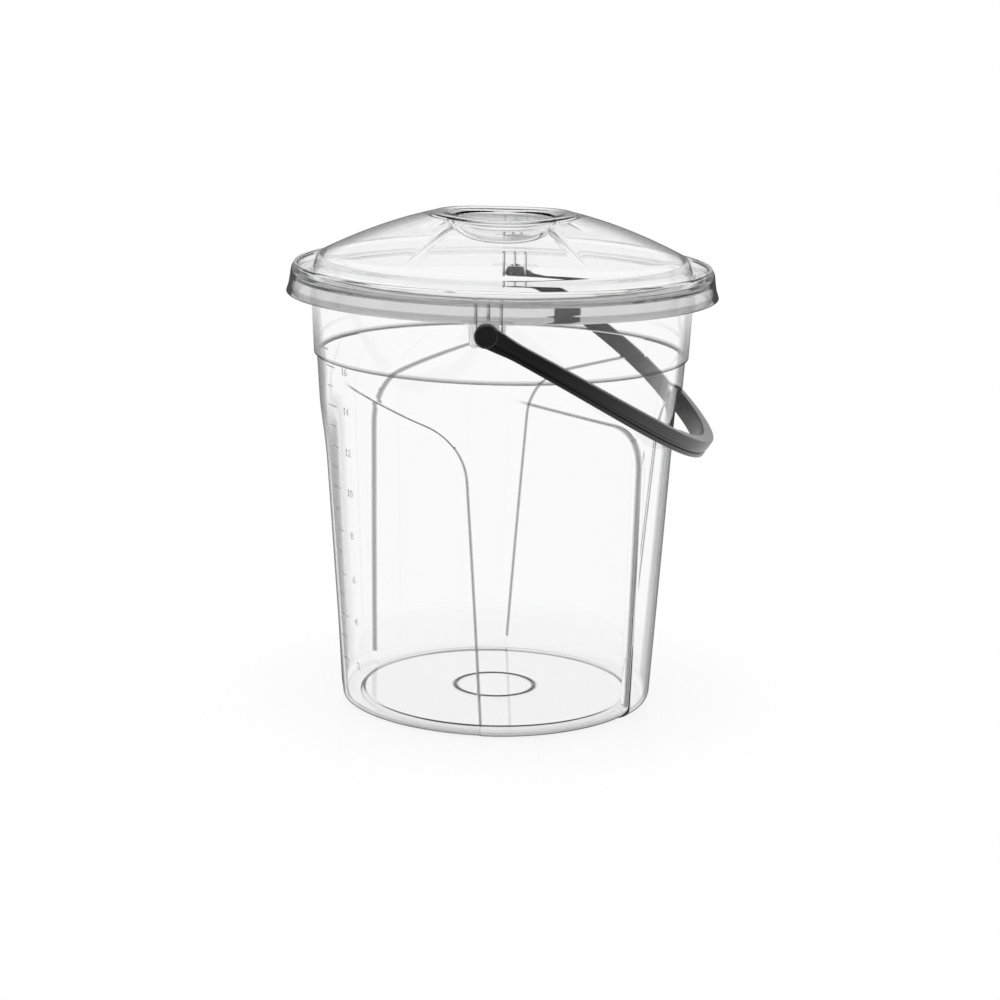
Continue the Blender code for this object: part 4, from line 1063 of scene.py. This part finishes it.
def add_floor():
    """A pale floor that keeps the bucket's shadow near it and fades into the white round it."""
    shape = bmesh.new()
    bmesh.ops.create_circle(shape, cap_ends=True, segments=96, radius=FLOOR_RADIUS)
    floor = mesh_object("studio_floor", shape)
    floor.location.z = -FLOOR_DROP
    made, tree, shader, output = new_material("studio_floor")
    shader.inputs["Base Color"].default_value = (0.88, 0.88, 0.88, 1)
    shader.inputs["Roughness"].default_value = 0.12
    place = tree.nodes.new("ShaderNodeTexCoord")
    away = tree.nodes.new("ShaderNodeVectorMath")
    away.operation = "LENGTH"
    fade = add_node(
        tree, "ShaderNodeMapRange", From_Min=SHADE_RADIUS, From_Max=SHADE_END_RADIUS, To_Min=0.86, To_Max=1,
    )
    white = add_node(tree, "ShaderNodeEmission", Color=(1, 1, 1, 1), Strength=1)
    mix = tree.nodes.new("ShaderNodeMixShader")
    tree.links.new(place.outputs["Object"], away.inputs[0])
    tree.links.new(away.outputs["Value"], fade.inputs["Value"])
    seen = add_math(tree, "MULTIPLY", seen_directly(tree), fade.outputs["Result"])
    tree.links.new(seen, mix.inputs["Fac"])
    tree.links.new(shader.outputs["BSDF"], mix.inputs[1])
    tree.links.new(white.outputs["Emission"], mix.inputs[2])
    tree.links.new(mix.outputs["Shader"], output.inputs["Surface"])
    floor.data.materials.append(made)
    return floor


def add_world():
    """Soft white light all round, seen as white and a little dimmer overhead."""
    world = bpy.data.worlds.new("studio")
    bpy.context.scene.world = world
    world.use_nodes = True
    tree = world.node_tree
    tree.nodes.clear()
    soft = add_node(tree, "ShaderNodeBackground", Color=(1, 1, 1, 1), Strength=0.55)
    white = add_node(tree, "ShaderNodeBackground", Color=(1, 1, 1, 1), Strength=1)
    place = tree.nodes.new("ShaderNodeTexCoord")
    parts = tree.nodes.new("ShaderNodeSeparateXYZ")
    overhead = add_node(tree, "ShaderNodeMapRange", From_Min=0.3, From_Max=1, To_Min=1, To_Max=0.8)
    tree.links.new(place.outputs["Generated"], parts.inputs["Vector"])
    tree.links.new(parts.outputs["Z"], overhead.inputs["Value"])
    tree.links.new(overhead.outputs["Result"], white.inputs["Strength"])
    mix = tree.nodes.new("ShaderNodeMixShader")
    output = tree.nodes.new("ShaderNodeOutputWorld")
    tree.links.new(seen_directly(tree), mix.inputs["Fac"])
    tree.links.new(soft.outputs["Background"], mix.inputs[1])
    tree.links.new(white.outputs["Background"], mix.inputs[2])
    tree.links.new(mix.outputs["Shader"], output.inputs["Surface"])


def add_softbox(name, place, width, height, power):
    """A soft lamp aimed at the bucket, which is not seen through the clear plastic."""
    light = bpy.data.lights.new(name, "AREA")
    light.shape = "RECTANGLE"
    light.size = width
    light.size_y = height
    light.energy = power
    lamp = bpy.data.objects.new(name, light)
    bpy.context.scene.collection.objects.link(lamp)
    lamp.location = place
    lamp.visible_transmission = False
    lamp.rotation_euler = (Vector(SOFTBOX_TARGET) - Vector(place)).to_track_quat("-Z", "Y").to_euler()


def add_camera():
    data = bpy.data.cameras.new("camera")
    data.lens = CAMERA_LENS
    data.sensor_width = 36
    data.clip_end = 60
    camera = bpy.data.objects.new("camera", data)
    bpy.context.scene.collection.objects.link(camera)
    aim = (Vector(CAMERA_TARGET) - Vector(CAMERA_PLACE)).to_track_quat("-Z", "Y").to_matrix().to_4x4()
    roll = Matrix.Rotation(CAMERA_ROLL, 4, "Z")
    camera.matrix_world = Matrix.Translation(CAMERA_PLACE) @ aim @ roll
    bpy.context.scene.camera = camera


def dress(obj, material):
    """Give an object its material."""
    obj.data.materials.clear()
    obj.data.materials.append(material)


def main():
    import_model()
    add_camera()

    body_plastic = clear_plastic("clear_body", BODY_IOR, BODY_WAVINESS, BODY_PAINTED_SHADE_STOPS, BODY_PAINTED_SHADE_SLANT)
    lid_plastic = clear_plastic("clear_lid", LID_IOR, LID_WAVINESS, LID_PAINTED_SHADE_STOPS, LID_PAINTED_SHADE_SLANT)
    marks = frosted_marks()
    black = black_plastic()

    bucket = add_bucket()
    dress(bucket, body_plastic)
    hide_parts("bucket")
    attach(bucket, "bucket")
    for name, direction in (("ear_front", 0), ("ear_back", math.pi)):
        ear = add_ear(name, direction)
        for piece in [ear, *ear.children]:
            dress(piece, body_plastic)
        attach(ear, "bucket")
    for piece in add_litre_scale():
        dress(piece, marks)
        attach(piece, "bucket")

    lid = add_lid()
    dress(lid, lid_plastic)
    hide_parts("lid")
    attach(lid, "lid")

    strap, ends = add_handle()
    dress(strap, black)
    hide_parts("handle")
    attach(strap, "handle")
    for end in ends:
        dress(end, black)
        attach(end, "handle")

    add_floor()
    add_world()
    for name, (place, width, height, power) in SOFTBOXES.items():
        add_softbox(name, place, width, height, power)
    bpy.context.scene.view_settings.view_transform = "Standard"


main()
